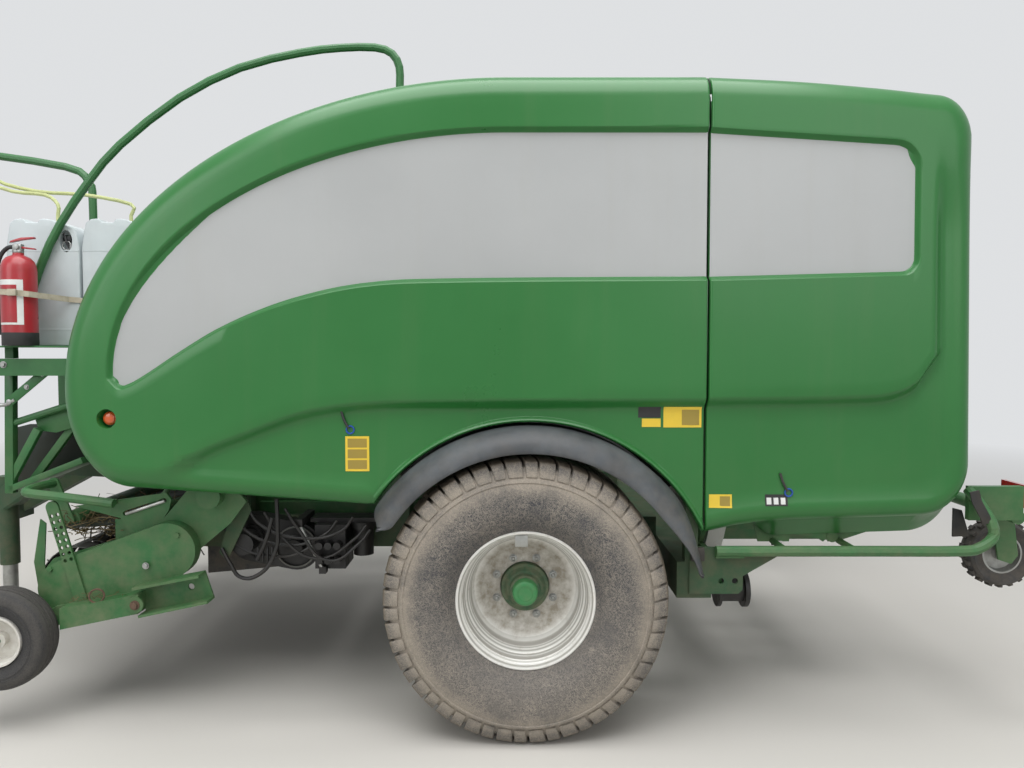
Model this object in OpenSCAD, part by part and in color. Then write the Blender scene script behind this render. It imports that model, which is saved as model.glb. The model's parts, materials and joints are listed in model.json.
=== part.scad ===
// Integrated round baler and bale wrapper, towed, standing on its parking jack.
// X runs rearward, Y to the machine's right, Z up. The origin lies on the ground below the middle.

/* [Overall] */
// Front of the towing eye, ahead of the origin
front_x = 3150; // [3100:10:3200]
// Rear edge of the turner wheel, behind the origin
rear_x = 3150; // [3120:10:3200]
// Half the width over the bulges of the side doors
panel_y = 1330; // [1300:5:1340]

/* [Main wheels] */
// Axle line behind the origin
axle_x = 780; // [760:5:800]
// Half the track width
track_half = 1125; // [1120:5:1130]
// Diameter of the tyre over its blocks
tyre_d = 1228; // [1210:2:1240]
// Section width of the tyre
tyre_w = 560; // [520:5:560]
// Tread width over the shoulder blocks
tread_w = 500; // [460:5:510]
// Height of the tread blocks
lug_h = 22; // [10:1:30]
// Number of blocks along each shoulder
lug_count = 26; // [18:1:32]
// Outer diameter of the rim flange
rim_d = 600; // [580:2:620]
// Width of the rim
rim_w = 430; // [400:5:450]
// Bolt circle of the wheel disc
wheel_pcd = 275; // [265:5:285]
// Number of wheel studs
stud_count = 8; // [6:1:10]
// Radius of the axle spindle
spindle_r = 40; // [32:1:48]

/* [Side doors] */
// Foremost point of the front doors
nose_x = -1205; // [-1210:1:-1190]
// Height of the foremost point
nose_z = 1508; // [1490:2:1530]
// Height of the door shoulder
door_top_z = 2838; // [2810:1:2842]
// Parting line between the front and the rear doors
seam_x = 1547; // [1540:1:1554]
// Gap between neighbouring doors
seam_gap = 8; // [4:1:14]
// Rear edge of the rear doors
door_rear_x = 2699; // [2690:1:2705]
// Thickness of the door shell
door_t = 12; // [8:1:14]
// Step below the bulge of each door
lower_step = 42; // [20:1:50]
// Depth of the pale panel's recess
inset_depth = 28; // [12:1:34]
// Radius of the wheel arch cut
arch_r = 812; // [808:1:818]
// Radius of the rounded door edges
edge_r = 110; // [70:5:130]
// Height of the door hinge line above the shoulder
hinge_lift = 18; // [12:1:24]
// Half the distance between the hinge lines
hinge_y = 930; // [920:1:940]
// Radius of the hinge pins
hinge_pin_r = 10; // [8:0.5:12]

/* [Mudguards] */
// Outer radius of the mudguard band
guard_r = 800; // [790:1:802]
// Inner radius of its outer lip
guard_lip_r = 690; // [680:1:705]
// Thickness of the rubber band
guard_t = 12; // [8:1:16]

/* [Bale chamber] */
// Middle of the bale chamber, along the machine
chamber_x = -150; // [-180:5:-140]
// Height of the middle of the bale chamber
chamber_z = 1620; // [1600:5:1640]
// Radius of a finished bale
bale_r = 625; // [600:5:640]
// Radius of the slatted rollers
roller_r = 92; // [80:1:96]
// Half the width between the chamber's side walls
chamber_half = 640; // [620:2:645]
// Thickness of the chamber's side walls
wall_t = 8; // [6:1:10]

/* [Wrapper] */
// Front face of the wrapping ring
ring_x = 1660; // [1655:1:1670]
// Depth of the ring along its axis
ring_w = 80; // [60:2:86]
// Height of the ring's axis
ring_z = 1400; // [1395:1:1410]
// Inner radius of the ring
ring_ri = 960; // [950:2:980]
// Outer radius of the ring
ring_ro = 1090; // [1080:2:1100]
// Radius of the rollers that guide the ring
guide_r = 90; // [70:1:94]
// Length of a film roll
film_l = 750; // [500:10:750]
// Radius of a full film roll
film_r = 118; // [80:1:120]
// Radius of the table's rollers
table_roller_r = 84; // [70:1:90]

/* [Pick-up] */
// Half the width between the side plates
pickup_half = 1040; // [1000:5:1050]
// Radius at the tips of the tines
tine_r = 222; // [200:2:226]
// Number of tine bars
bar_count = 5; // [4:1:6]
// Tines on each bar
tine_count = 15; // [11:1:19]
// Diameter of the gauge wheels
gauge_d = 446; // [400:2:460]
// Width of the gauge wheels
gauge_w = 145; // [120:5:150]

/* [Front] */
// Height of the platform deck
deck_z = 1700; // [1690:2:1712]
// Radius of the guard hoop's tube
hoop_r = 19; // [14:1:22]
// Width of one canister
canister_w = 350; // [320:5:360]
// Height of one canister
canister_h = 610; // [560:5:640]
// Radius of the towing eye's bore
eye_bore_r = 25; // [20:1:30]
// Radius of the jack's inner leg
jack_r = 38; // [30:1:40]

/* [Hidden] */
axle_z = tyre_d / 2;
run_gap = 0.05;
seat_gap = 0.3;
green = "#3f7f45";
silver = "#b4b4b6";
black = "#26282a";

// Places that several pieces share
beam_y = 705;
beam_w = 100;
beam_z = 775;
beam_h = 150;
beam_front_x = -900;
cross_x = 1515;
cross_w = 150;
cross_z = 680;
post_y = panel_y - 110;
post_w = 60;
pivot_r = 35;
pivot_x = -653;
pivot_z = 1014;
reel_x = -1300;
reel_z = 600;
reel_bar_r = 120;
gauge_x = -1521;
gauge_z = 413;
gauge_y = pickup_half + 180;
jack_x = -2130;
jack_y = -235;
eye_x = 75 - front_x;
eye_z = 560;
rail_y = hinge_y - 55;
hinge_z = door_top_z + hinge_lift;
rail_z = door_top_z - 23;
table_z = 800;
table_front_x = 1800;
table_rear_x = 2420;
table_pivot_x = 2330;
table_pivot_z = 720;
turner_r = 160;
turner_x = rear_x - turner_r;
turner_y = -1000;
turner_z = 738;
gate_pin_r = 22;
gate_in = chamber_half + wall_t + 5;
gate_out = gate_in + 12;
gate_pivot_x = chamber_x - 70;
gate_pivot_z = chamber_z + 800;

module both() {
    children();
    mirror([0, 1, 0]) children();
}

// A cylinder along Y that ends at y0 and y1
module bar_y(x, z, r, y0, y1, sides = 48) {
    translate([x, y0, z]) rotate([-90, 0, 0]) cylinder(r = r, h = y1 - y0, $fn = sides);
}

// A cylinder along X that ends at x0 and x1
module bar_x(y, z, r, x0, x1, sides = 48) {
    translate([x0, y, z]) rotate([0, 90, 0]) cylinder(r = r, h = x1 - x0, $fn = sides);
}

// A round rod between two points
module rod(p, q, r, sides = 24) {
    d = q - p;
    l = norm(d);
    translate(p) rotate([0, acos(d.z / l), atan2(d.y, d.x)]) cylinder(r = r, h = l, $fn = sides);
}

// A box given by its lowest and highest corner
module block(p, q) {
    translate(p) cube(q - p);
}

// A flat plate whose outline lies in the XZ plane, between y0 and y1
module plate_xz(y0, y1) {
    translate([0, y1, 0]) rotate([90, 0, 0]) linear_extrude(y1 - y0) children();
}

// A flat bar with round ends in the XZ plane
module link_2d(p, q, r) {
    hull() {
        translate(p) circle(r = r, $fn = 32);
        translate(q) circle(r = r, $fn = 32);
    }
}

// A round tube swept along points; side gives a direction that the path never follows
function unit(v) = v / norm(v);
function tangent(path, i) =
    unit(path[min(i + 1, len(path) - 1)] - path[max(i - 1, 0)]);
function tube_ring(path, i, r, n, side) =
    let (t = tangent(path, i), u = unit(cross(t, side)), v = cross(t, u))
    [for (k = [0 : n - 1]) path[i] + r * (cos(360 * k / n) * u + sin(360 * k / n) * v)];
module sweep(path, r, n = 10, side = [0, 1, 0]) {
    m = len(path);
    points = [for (i = [0 : m - 1]) each tube_ring(path, i, r, n, side)];
    walls = [for (i = [0 : m - 2], k = [0 : n - 1])
        let (a = i * n + k, b = i * n + (k + 1) % n) each [[a, b + n, b], [a, a + n, b + n]]];
    caps = [for (k = [1 : n - 2]) each [[0, k, k + 1],
        [(m - 1) * n, (m - 1) * n + k + 1, (m - 1) * n + k]]];
    polyhedron(points, concat(walls, caps), convexity = 8);
}

// Smooth curve through chosen points, with step extra points on each stretch
function spline_point(p, i, t) =
    let (a = p[max(i - 1, 0)], b = p[i], c = p[i + 1], d = p[min(i + 2, len(p) - 1)])
    b + 0.5 * t * ((c - a) + t * ((2 * a - 5 * b + 4 * c - d) + t * (3 * (b - c) + d - a)));
function smooth_path(p, step) =
    concat([for (i = [0 : len(p) - 2], k = [0 : step - 1]) spline_point(p, i, k / step)],
        [p[len(p) - 1]]);

// Height on a curve through [x, z] points, smooth between them
function curve_at(p, x) =
    let (n = len(p), s = x <= p[0][0] ? 0 : x >= p[n - 1][0] ? n - 2
        : max([for (i = [0 : n - 2]) if (x >= p[i][0]) i]),
        w = p[s + 1][0] - p[s][0], t = min(1, max(0, (x - p[s][0]) / w)),
        m0 = s == 0 ? (p[1][1] - p[0][1]) / w
            : (p[s + 1][1] - p[s - 1][1]) / (p[s + 1][0] - p[s - 1][0]),
        m1 = s == n - 2 ? (p[n - 1][1] - p[n - 2][1]) / w
            : (p[s + 2][1] - p[s][1]) / (p[s + 2][0] - p[s][0]))
    (2 * t * t * t - 3 * t * t + 1) * p[s][1] + (t * t * t - 2 * t * t + t) * w * m0
        + (3 * t * t - 2 * t * t * t) * p[s + 1][1] + (t * t * t - t * t) * w * m1;
function smooth_step(t) = let (c = min(1, max(0, t))) c * c * (3 - 2 * c);

// Outline of the front door: a half ellipse over the nose, a chin, the sill and the wheel arch
nose_mid_x = 700;
chin_x = -910;
chin_z = 1083;
sill_x = 128;
sill_z = 1006;
seam_foot_z = 902;
function half_oval(x, mid, a, b) = b * sqrt(max(0, 1 - pow((mid - x) / a, 2)));
function front_top(x) = x > nose_mid_x ? door_top_z
    : nose_z + half_oval(x, nose_mid_x, nose_mid_x - nose_x, door_top_z - nose_z);
function arch_z(x) = abs(x - arch_x) < arch_r
    ? arch_mid_z + sqrt(arch_r * arch_r - pow(x - arch_x, 2)) : 0;
arch_x = axle_x + 19;
arch_mid_z = axle_z - 55;
function front_bottom(x) = x < chin_x
    ? nose_z - half_oval(x, chin_x, chin_x - nose_x, nose_z - chin_z)
    : max(x > arch_x ? seam_foot_z : sill_z + (chin_z - sill_z) * (sill_x - x) / (sill_x - chin_x),
        arch_z(x));
// The crease under the bulge and the edges of the pale panel, as [x, z]
front_crease = [[-1000, 1090], [-745, 1152], [-595, 1237], [-383, 1322], [-171, 1398], [60, 1436],
    [300, 1446], [1547, 1453]];
front_inset_low = [[-990, 1560], [-940, 1512], [-880, 1524], [-680, 1652], [-510, 1754],
    [-335, 1832], [-165, 1888], [45, 1935], [300, 1958], [1547, 1970]];
inset_mid_z = 1570;
inset_top_z = door_top_z - 230;
front_inset_x = -988;
function front_inset_top(x) = x > nose_mid_x ? inset_top_z
    : inset_mid_z + half_oval(x, nose_mid_x, nose_mid_x - front_inset_x, inset_top_z - inset_mid_z);

// Outline of the rear door, with rounded rear corners
rear_top_line = [for (p = [[1500, 1], [1939, -20], [2279, -48], [2500, -70], [2720, -88]])
    [p.x, door_top_z + p.y]];
rear_bottom_line = [[1500, 880], [1580, 892], [1700, 918], [1890, 938], [2190, 948], [2720, 966]];
rear_corner_top = 150;
rear_corner_foot = 210;
rear_lean = 24;
function lean_of(f, x, z) = f ? 0 : rear_lean * smooth_step((x - 2250) / 350)
    * min(1, max(0, (z - 1200) / 1240));
function corner_drop(x, end, r) = x > end - r ? r - sqrt(max(0, r * r - pow(x - end + r, 2))) : 0;
function rear_top(x) = curve_at(rear_top_line, x)
    - corner_drop(x, door_rear_x, rear_corner_top) * 1.25;
function rear_bottom(x) = curve_at(rear_bottom_line, x)
    + corner_drop(x, door_rear_x, rear_corner_foot) * 1.1;
rear_crease = [[1500, 1455], [2250, 1468], [2360, 1490], [2437, 1533], [2490, 1610], [2720, 1900]];
rear_bulge_x = 2500;
rear_inset_x = 2442;
function rear_inset_low(x) = 1968 + 22 * (x - 1547) / 820 + corner_drop(x, rear_inset_x, 80);
function rear_inset_top(x) = inset_top_z - 2 - 44 * (x - 1547) / 700
    - corner_drop(x, rear_inset_x, 110);

// One door's outline and relief, chosen by front = 1 or 0
function top_of(f, x) = f ? front_top(x) : rear_top(x);
function foot_of(f, x) = f ? front_bottom(x) : rear_bottom(x);
function crease_of(f, x) = f ? curve_at(front_crease, x) : curve_at(rear_crease, x);
function inset_low_of(f, x) = f ? curve_at(front_inset_low, x) : rear_inset_low(x);
function inset_top_of(f, x) = f ? front_inset_top(x) : rear_inset_top(x);
lip = 24;
arch_band = 24;
crease_half = 28;
function inset_on(f, x) = f ? (x > front_inset_x + 20 ? 1 : 0) : (x < rear_inset_x - 4 ? 1 : 0);
function slope(f, top, x) = let (e = 2) top
    ? (top_of(f, x + e) - top_of(f, x - e)) / (2 * e)
    : (foot_of(f, x + e) - foot_of(f, x - e)) / (2 * e);
function on_arch(x) = x > arch_x || (front_bottom(x) == arch_z(x) && x > sill_x - 30);
// Distance to the nearest rounded edge, the direction away from it and how far it turns in
function edge_of(f, x, z, open_x) =
    let (st = slope(f, true, x), sb = slope(f, false, x),
        ct = 1 / sqrt(1 + st * st), cb = 1 / sqrt(1 + sb * sb),
        arch = f && on_arch(x),
        grow = arch ? edge_r / arch_band : 1,
        dt = (top_of(f, x) - z) * ct, db = (z - foot_of(f, x)) * cb * grow,
        dn = f ? x - open_x : open_x - x, d = min(dt, db, dn))
    d == dt ? [d, st * ct, -ct, edge_r] : d == db ? [d, -sb * cb, cb, arch ? arch_turn : edge_r]
        : [d, f ? 1 : -1, 0, edge_r];
function relief(f, x, z) =
    let (low = 1 - smooth_step((z - crease_of(f, x) + crease_half) / (2 * crease_half)),
        fade = f ? smooth_step((x + 830) / 190) : 1,
        back = f ? 0 : smooth_step((x - rear_bulge_x) / 60)
            * (1 - smooth_step((z - 2150) / 400)),
        pit = inset_on(f, x) && z > inset_low_of(f, x) + lip - 1
            && z < inset_top_of(f, x) - lip + 1 ? inset_depth : 0)
    lower_step * max(low * fade, back) + pit;
function door_rows(f, x) =
    let (b = foot_of(f, x), t = top_of(f, x), c = crease_of(f, x),
        il = inset_low_of(f, x), it = inset_top_of(f, x),
        rb = f && on_arch(x) ? arch_band : edge_r,
        st = slope(f, true, x), rt = edge_r * sqrt(1 + st * st),
        raw = [b, b + 0.12 * rb, b + 0.45 * rb, b + rb, c - crease_half, c, c + crease_half,
            il, il + lip, it - lip, it, t - rt, t - 0.45 * rt, t - 0.12 * rt, t], n = len(raw) - 1,
        up = [for (i = 0, z = raw[0]; i <= n; i = i + 1, z = i > n ? 0 : max(z + 3, raw[i])) z])
    [for (i = [0 : n]) i == 0 ? b : i == n ? t : min(up[i], t - (n - i) * 3)];
function face_y(f, x, z, open_x) =
    let (e = edge_of(f, x, z, open_x), w = max(0, 1 - e[0] / edge_r))
    panel_y - relief(f, x, z) * (1 - w) - e[3] * (1 - sqrt(1 - w * w));

arch_steps = 12;
front_columns = concat(
    [for (c = [6, 14, 32, 62, 104, 150, 190, 212, 222, 236, 262, 300, 360, 450, 560, 690, 830, 970,
        1110, 1240]) nose_x + c],
    [for (i = [0 : arch_steps]) let (a = 146 - (146 - 25.6) * i / arch_steps)
        arch_x + arch_r * cos(a)],
    [seam_x - seam_gap / 2]);
rear_columns = concat(
    [for (c = [0, 6, 22, 50, 90, 140, 190]) door_rear_x - c],
    [rear_inset_x + 2, rear_inset_x - 8, rear_inset_x - 30, rear_inset_x - 60, rear_inset_x - 108],
    [for (c = [2180, 2000, 1820, 1700, 1620]) c], [seam_x + seam_gap / 2]);

flange_y = hinge_y + 30;
foot_turn_y = pickup_half + 90;
arch_turn = 60;
post_clear = 10;
function tri(a, b, c, d, flip) = flip ? [[a, c, b], [a, d, c]] : [[a, b, c], [a, c, d]];
// Door shell: a grid of columns and rows, a return round its rim, and the same once more inside
module door_shell(f, columns) {
    n = len(columns) - 1;
    m = len(door_rows(f, columns[3])) - 1;
    open_x = columns[0];
    rows = [for (x = columns) door_rows(f, x)];
    rim = concat([for (i = [n : -1 : 0]) [i, 0]], [for (j = [1 : m]) [0, j]],
        [for (i = [1 : n]) [i, m]]);
    k = len(rim) - 1;
    function depth(c, ring) = c[1] == m ? (ring == 1 ? panel_y - 2 * edge_r : flange_y)
        : f && columns[c[0]] > 1300 ? post_y + post_w / 2 + post_clear + (ring == 1 ? 5 : 0)
        : foot_turn_y + (ring == 1 ? 40 : 0);
    function lift(c, ring) = c[1] == m ? (ring == 1 ? 26 : 36)
        : c[1] == 0 && !f ? (ring == 1 ? -50 : -90) * smooth_step((columns[c[0]] - 1750) / 150)
        : 0;
    function outer(c) = let (x = columns[c[0]], z = rows[c[0]][c[1]])
        [x, -face_y(f, x, z, open_x), z];
    function inward(c) = let (x = columns[c[0]], z = rows[c[0]][c[1]],
        e = edge_of(f, x, z, open_x), w = min(1, max(0, 1 - e[0] / edge_r)))
        door_t * [w * e[1], sqrt(1 - w * w), w * e[2]];
    function lean(p) = [p.x - lean_of(f, p.x, p.z), p.y, p.z];
    function turned(c, ring) = let (x = columns[c[0]], z = rows[c[0]][c[1]])
        [x, -depth(c, ring), z + lift(c, ring)];
    function flat_in(c) = let (x = columns[c[0]], z = rows[c[0]][c[1]],
        e = edge_of(f, x, z, open_x)) door_t * [e[1], 0, e[2]];
    grid = [for (i = [0 : n], j = [0 : m]) lean(outer([i, j]))];
    grid_in = [for (i = [0 : n], j = [0 : m]) lean(outer([i, j]) + inward([i, j]))];
    ring1 = [for (c = rim) lean(turned(c, 1))];
    ring2 = [for (c = rim) lean(turned(c, 2))];
    ring1_in = [for (c = rim) lean(turned(c, 1) + flat_in(c))];
    ring2_in = [for (c = rim) lean(turned(c, 2) + flat_in(c))];
    g = len(grid);
    r = k + 1;
    inner = g + 2 * r;
    function id(c) = c[0] * (m + 1) + c[1];
    function strip(lo, hi, flip) = [for (q = [0 : k - 1])
        each tri(lo[q], lo[q + 1], hi[q + 1], hi[q], flip)];
    edge0 = [for (c = rim) id(c)];
    edge1 = [for (q = [0 : k]) g + q];
    edge2 = [for (q = [0 : k]) g + r + q];
    edge0_in = edge0 + [for (c = rim) inner];
    edge1_in = edge1 + [for (c = rim) inner];
    edge2_in = edge2 + [for (c = rim) inner];
    flip = f ? false : true;
    faces = concat(
        [for (i = [0 : n - 1], j = [0 : m - 1]) each tri(id([i, j]), id([i, j + 1]),
            id([i + 1, j + 1]), id([i + 1, j]), flip)],
        [for (i = [0 : n - 1], j = [0 : m - 1]) each tri(inner + id([i, j]), inner + id([i, j + 1]),
            inner + id([i + 1, j + 1]), inner + id([i + 1, j]), !flip)],
        strip(edge0, edge1, !flip), strip(edge1, edge2, !flip), strip(edge2, edge2_in, !flip),
        strip(edge0_in, edge1_in, flip), strip(edge1_in, edge2_in, flip),
        [for (j = [0 : m - 1]) each tri(id([n, j]), id([n, j + 1]), inner + id([n, j + 1]),
            inner + id([n, j]), flip)],
        tri(edge1[0], edge0[0], edge0_in[0], edge1_in[0], flip),
        tri(edge2[0], edge1[0], edge1_in[0], edge2_in[0], flip),
        tri(edge0[k], edge1[k], edge1_in[k], edge0_in[k], flip),
        tri(edge1[k], edge2[k], edge2_in[k], edge1_in[k], flip));
    polyhedron(concat(grid, ring1, ring2, grid_in, ring1_in, ring2_in), faces, convexity = 12);
}

hinge_lug_r = 26;
hinge_lug_w = 30;
front_hinges = [240, 1340];
rear_hinges = [1700, 2150];
// Hinge lugs that reach from the door's top flange to the pin
module door_lugs(places, f) {
    for (x = places) difference() {
        union() {
            bar_x(-hinge_y, hinge_z, hinge_lug_r, x, x + hinge_lug_w);
            block([x, -flange_y - 60, top_of(f, x) + 12], [x + hinge_lug_w, -hinge_y, hinge_z + 10]);
        }
        bar_x(-hinge_y, hinge_z, hinge_pin_r + run_gap, x - 1, x + hinge_lug_w + 1);
    }
}

module front_door() {
    color(green) union() {
        difference() {
            door_shell(1, front_columns);
            bar_y(lamp_x, lamp_z, lamp_r + 14, -panel_y - 10, -panel_y + 120);
        }
        lamp_cup();
        door_lugs(front_hinges, 1);
    }
}
module rear_door() {
    color(green) union() {
        door_shell(0, rear_columns);
        door_lugs(rear_hinges, 0);
    }
}

inset_t = 2;
module inset_panel(f, columns) {
    on = [for (x = columns) if (inset_on(f, x)) x];
    function leant(x, z) = [x - lean_of(f, x, z), z];
    low = [for (x = on) leant(x, inset_low_of(f, x) + lip + 2)];
    high = [for (x = on) leant(x, inset_top_of(f, x) - lip - 2)];
    last = len(on) - 1;
    y = -panel_y + inset_depth - seat_gap;
    color(silver) plate_xz(y - inset_t, y)
        polygon(concat(low, [for (i = [last : -1 : 0]) high[i]]));
}

// Amber side lamp in its round recess
lamp_x = -988;
lamp_z = 1390;
lamp_r = 29;
module lamp_cup() {
    difference() {
        bar_y(lamp_x, lamp_z, lamp_r + 20, -panel_y + door_t - 2, -panel_y + 62);
        bar_y(lamp_x, lamp_z, lamp_r + 10, -panel_y + 10, -panel_y + 50);
    }
}
module marker_lamp() {
    color("#d9662e") {
        bar_y(lamp_x, lamp_z, lamp_r, -panel_y + 34, -panel_y + 50 - seat_gap);
        bar_y(lamp_x, lamp_z, lamp_r - 6, -panel_y + 26, -panel_y + 34);
    }
}

// Main wheels, made on the left side and mirrored
rim_r = rim_d / 2;
module tyre() {
    tread_r = tyre_d / 2 - lug_h;
    half = tyre_w / 2;
    color("#2b2a29") translate([axle_x, -track_half, axle_z]) rotate([90, 0, 0]) union() {
        rotate_extrude($fn = 64) polygon(concat(
            [[rim_r - 16, -rim_w / 2 + 34], [rim_r - 8, -rim_w / 2 + 14], [rim_r + 6, -rim_w / 2 + 3]],
            [[rim_r + 70, -half + 14], [rim_r + 130, -half], [rim_r + 190, -half + 4],
             [rim_r + 245, -half + 30], [tread_r - 12, -tread_w / 2 + 20], [tread_r, -tread_w / 2 + 90],
             [tread_r, tread_w / 2 - 90], [tread_r - 12, tread_w / 2 - 20], [rim_r + 245, half - 30],
             [rim_r + 190, half - 4], [rim_r + 130, half], [rim_r + 70, half - 14]],
            [[rim_r + 6, rim_w / 2 - 3], [rim_r - 8, rim_w / 2 - 14], [rim_r - 16, rim_w / 2 - 34],
             [rim_r + 60, half - 46],
             [rim_r + 130, half - 28], [rim_r + 220, half - 40], [tread_r - 36, tread_w / 2 - 60],
             [tread_r - 30, 0], [tread_r - 36, -tread_w / 2 + 60], [rim_r + 220, -half + 40],
             [rim_r + 130, -half + 28], [rim_r + 60, -half + 46]]));
        intersection() {
            cylinder(r = tyre_d / 2, h = 2 * tyre_w, center = true, $fn = 96);
            for (i = [0 : lug_count - 1], s = [-1, 1])
                rotate([0, 0, (i + s / 4) * 360 / lug_count])
                    translate([tread_r - 16, 0, 0]) shoulder_lug(s);
        }
    }
}
// One tread block that runs from near the middle over the shoulder
lug_w = 74;
module shoulder_lug(s) {
    mirror([0, 0, s > 0 ? 0 : 1]) rotate([90, 0, 0]) translate([0, 0, -lug_w / 2])
        linear_extrude(lug_w) polygon([[0, 22], [lug_h + 16, 22], [lug_h + 16, tread_w / 2 - 62],
            [lug_h + 2, tread_w / 2 - 8], [-38, tread_w / 2 + 14], [-44, tread_w / 2 - 8]]);
}

disc_r = 108;
disc_t = 12;
module rim() {
    half = rim_w / 2;
    color("#c9c6c0") translate([axle_x, -track_half, axle_z]) rotate([90, 0, 0]) difference() {
        rotate_extrude($fn = 64) polygon([[rim_r, half], [rim_r - 12, half], [rim_r - 18, half - 14],
            [rim_r - 28, half - 30], [rim_r - 34, half - 90], [rim_r - 62, half - 120],
            [rim_r - 66, 10], [rim_r - 110, 18], [200, 4], [170, -6], [disc_r + 4, -6],
            [disc_r + 4, -6 - disc_t], [174, -6 - disc_t], [204, -8], [rim_r - 104, 6],
            [rim_r - 66, -6], [rim_r - 62, -half + 120], [rim_r - 34, -half + 90],
            [rim_r - 28, -half + 30], [rim_r - 18, -half + 14], [rim_r - 12, -half], [rim_r, -half],
            [rim_r - 8 - seat_gap, -half + 14], [rim_r - 16 - seat_gap, -half + 34],
            [rim_r - 22, -half + 92], [rim_r - 50, -half + 124], [rim_r - 50, half - 124],
            [rim_r - 22, half - 92], [rim_r - 16 - seat_gap, half - 34],
            [rim_r - 8 - seat_gap, half - 14]]);
        for (i = [0 : stud_count - 1]) rotate([0, 0, (i + 0.5) * 360 / stud_count])
            translate([wheel_pcd / 2, 0, -40]) cylinder(r = 11.3, h = 60, $fn = 24);
    }
}

cap_r = 56;
module hub() {
    color("#2f6e45") translate([axle_x, -track_half, axle_z]) rotate([90, 0, 0]) difference() {
        union() {
            cylinder(r = disc_r, h = 20, $fn = 64);
            translate([0, 0, 20]) cylinder(r1 = 92, r2 = 78, h = 18, $fn = 64);
            translate([0, 0, 38]) cylinder(r = cap_r + 12, h = 34, $fn = 64);
            translate([0, 0, 72]) cylinder(r = cap_r, h = 40, $fn = 64);
            translate([0, 0, 112]) cylinder(r1 = cap_r, r2 = cap_r - 10, h = 8, $fn = 64);
            translate([0, 0, -6 - disc_t - 22]) cylinder(r = 172, h = 22 - seat_gap, $fn = 64);
            translate([0, 0, -110]) cylinder(r = 84, h = 112, $fn = 64);
            translate([0, 0, -20]) cylinder(r = disc_r, h = 21, $fn = 64);
            for (i = [0 : stud_count - 1]) rotate([0, 0, (i + 0.5) * 360 / stud_count])
                translate([wheel_pcd / 2, 0, -30]) {
                    cylinder(r = 11, h = 52, $fn = 24);
                    translate([0, 0, 24 + seat_gap]) cylinder(r = 19, h = 16, $fn = 6);
                }
        }
        translate([0, 0, -120]) cylinder(r = spindle_r + run_gap, h = 160, $fn = 48);
    }
}

module axle() {
    color("#35643a") {
        block([axle_x - 60, -860, axle_z - 60], [axle_x + 60, 860, axle_z + 60]);
        both() {
            bar_y(axle_x, axle_z, 90, -900, -859);
            bar_y(axle_x, axle_z, 62, -1000, -900);
            bar_y(axle_x, axle_z, spindle_r, -track_half - 30, -1000);
            block([axle_x - 90, -beam_y - 40, axle_z + 60], [axle_x + 90, -beam_y + 40,
                beam_z - beam_h / 2]);
        }
    }
}

// Rubber mudguard band over each tyre, with its lining and steel brackets
lining_t = 6;
module mudguards() {
    color("#44484e") both() intersection() {
        translate([arch_x, 0, arch_mid_z]) rotate([90, 0, 0]) rotate([0, 0, 13.5])
            rotate_extrude(angle = 136, $fn = 96) polygon([[guard_r, 1283], [guard_r - 6, 1318],
                [guard_r - 24, 1352], [guard_r - 52, 1380], [guard_lip_r + 14, 1398],
                [guard_lip_r, 1398], [guard_lip_r + 2, 1398 - guard_t],
                [guard_r - 56, 1380 - guard_t - 2], [guard_r - 33, 1346], [guard_r - 17, 1314],
                [guard_r - guard_t, 1283]]);
        plate_xz(-1500, -1200) polygon([[0, 900], [0, 1500], [1600, 1500], [1700, 700],
            [1560, 738], [1345, 1050], [1000, 1160], [300, 980], [235, 915]]);
    }
    color("#3a3d40") both() intersection() {
        translate([arch_x, 0, arch_mid_z]) rotate([90, 0, 0]) rotate([0, 0, 13.5])
            rotate_extrude(angle = 136, $fn = 96) polygon([[guard_r - lining_t, 860],
                [guard_r, 860], [guard_r, 1290], [guard_r - lining_t, 1290]]);
        block([180, -1290, 850], [1470, -850, 1400]);
    }
    color("#2e3032") both() {
        block([150, -1292, 984], [230, -1280, 1030]);
        block([170, -1292, 1000], [210, -beam_y - beam_w / 2 - seat_gap, 1030]);
        block([1492, -1292, 770], [1552, -1262 - seat_gap, 830]);
    }
}

// Sheet arch behind the joint of the side doors, as [y, z] along its outer edge
arch_half_w = 20;
arch_foot_z = 930;
door_arch_line = [[panel_y - 72, arch_foot_z], [panel_y - 72, door_top_z - 158],
    [panel_y - 90, door_top_z - 86], [panel_y - 140, door_top_z - 38],
    [panel_y - 220, door_top_z - 10], [flange_y, door_top_z], [rail_y + 25 + seat_gap, door_top_z]];
module door_arch() {
    depth = 34;
    inner = [for (p = door_arch_line) let (bent = p.y > door_top_z - 200 ? 1 : 0)
        [p.x - depth * (1 - bent / 2), p.y - depth * bent]];
    last = len(inner) - 1;
    translate([seam_x - arch_half_w, 0, 0]) rotate([90, 0, 90]) linear_extrude(2 * arch_half_w)
        mirror([1, 0]) polygon(concat(door_arch_line, [[rail_y + 25 + seat_gap, inner[last].y]],
            [for (i = [last - 1 : -1 : 0]) inner[i]]));
}

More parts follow.
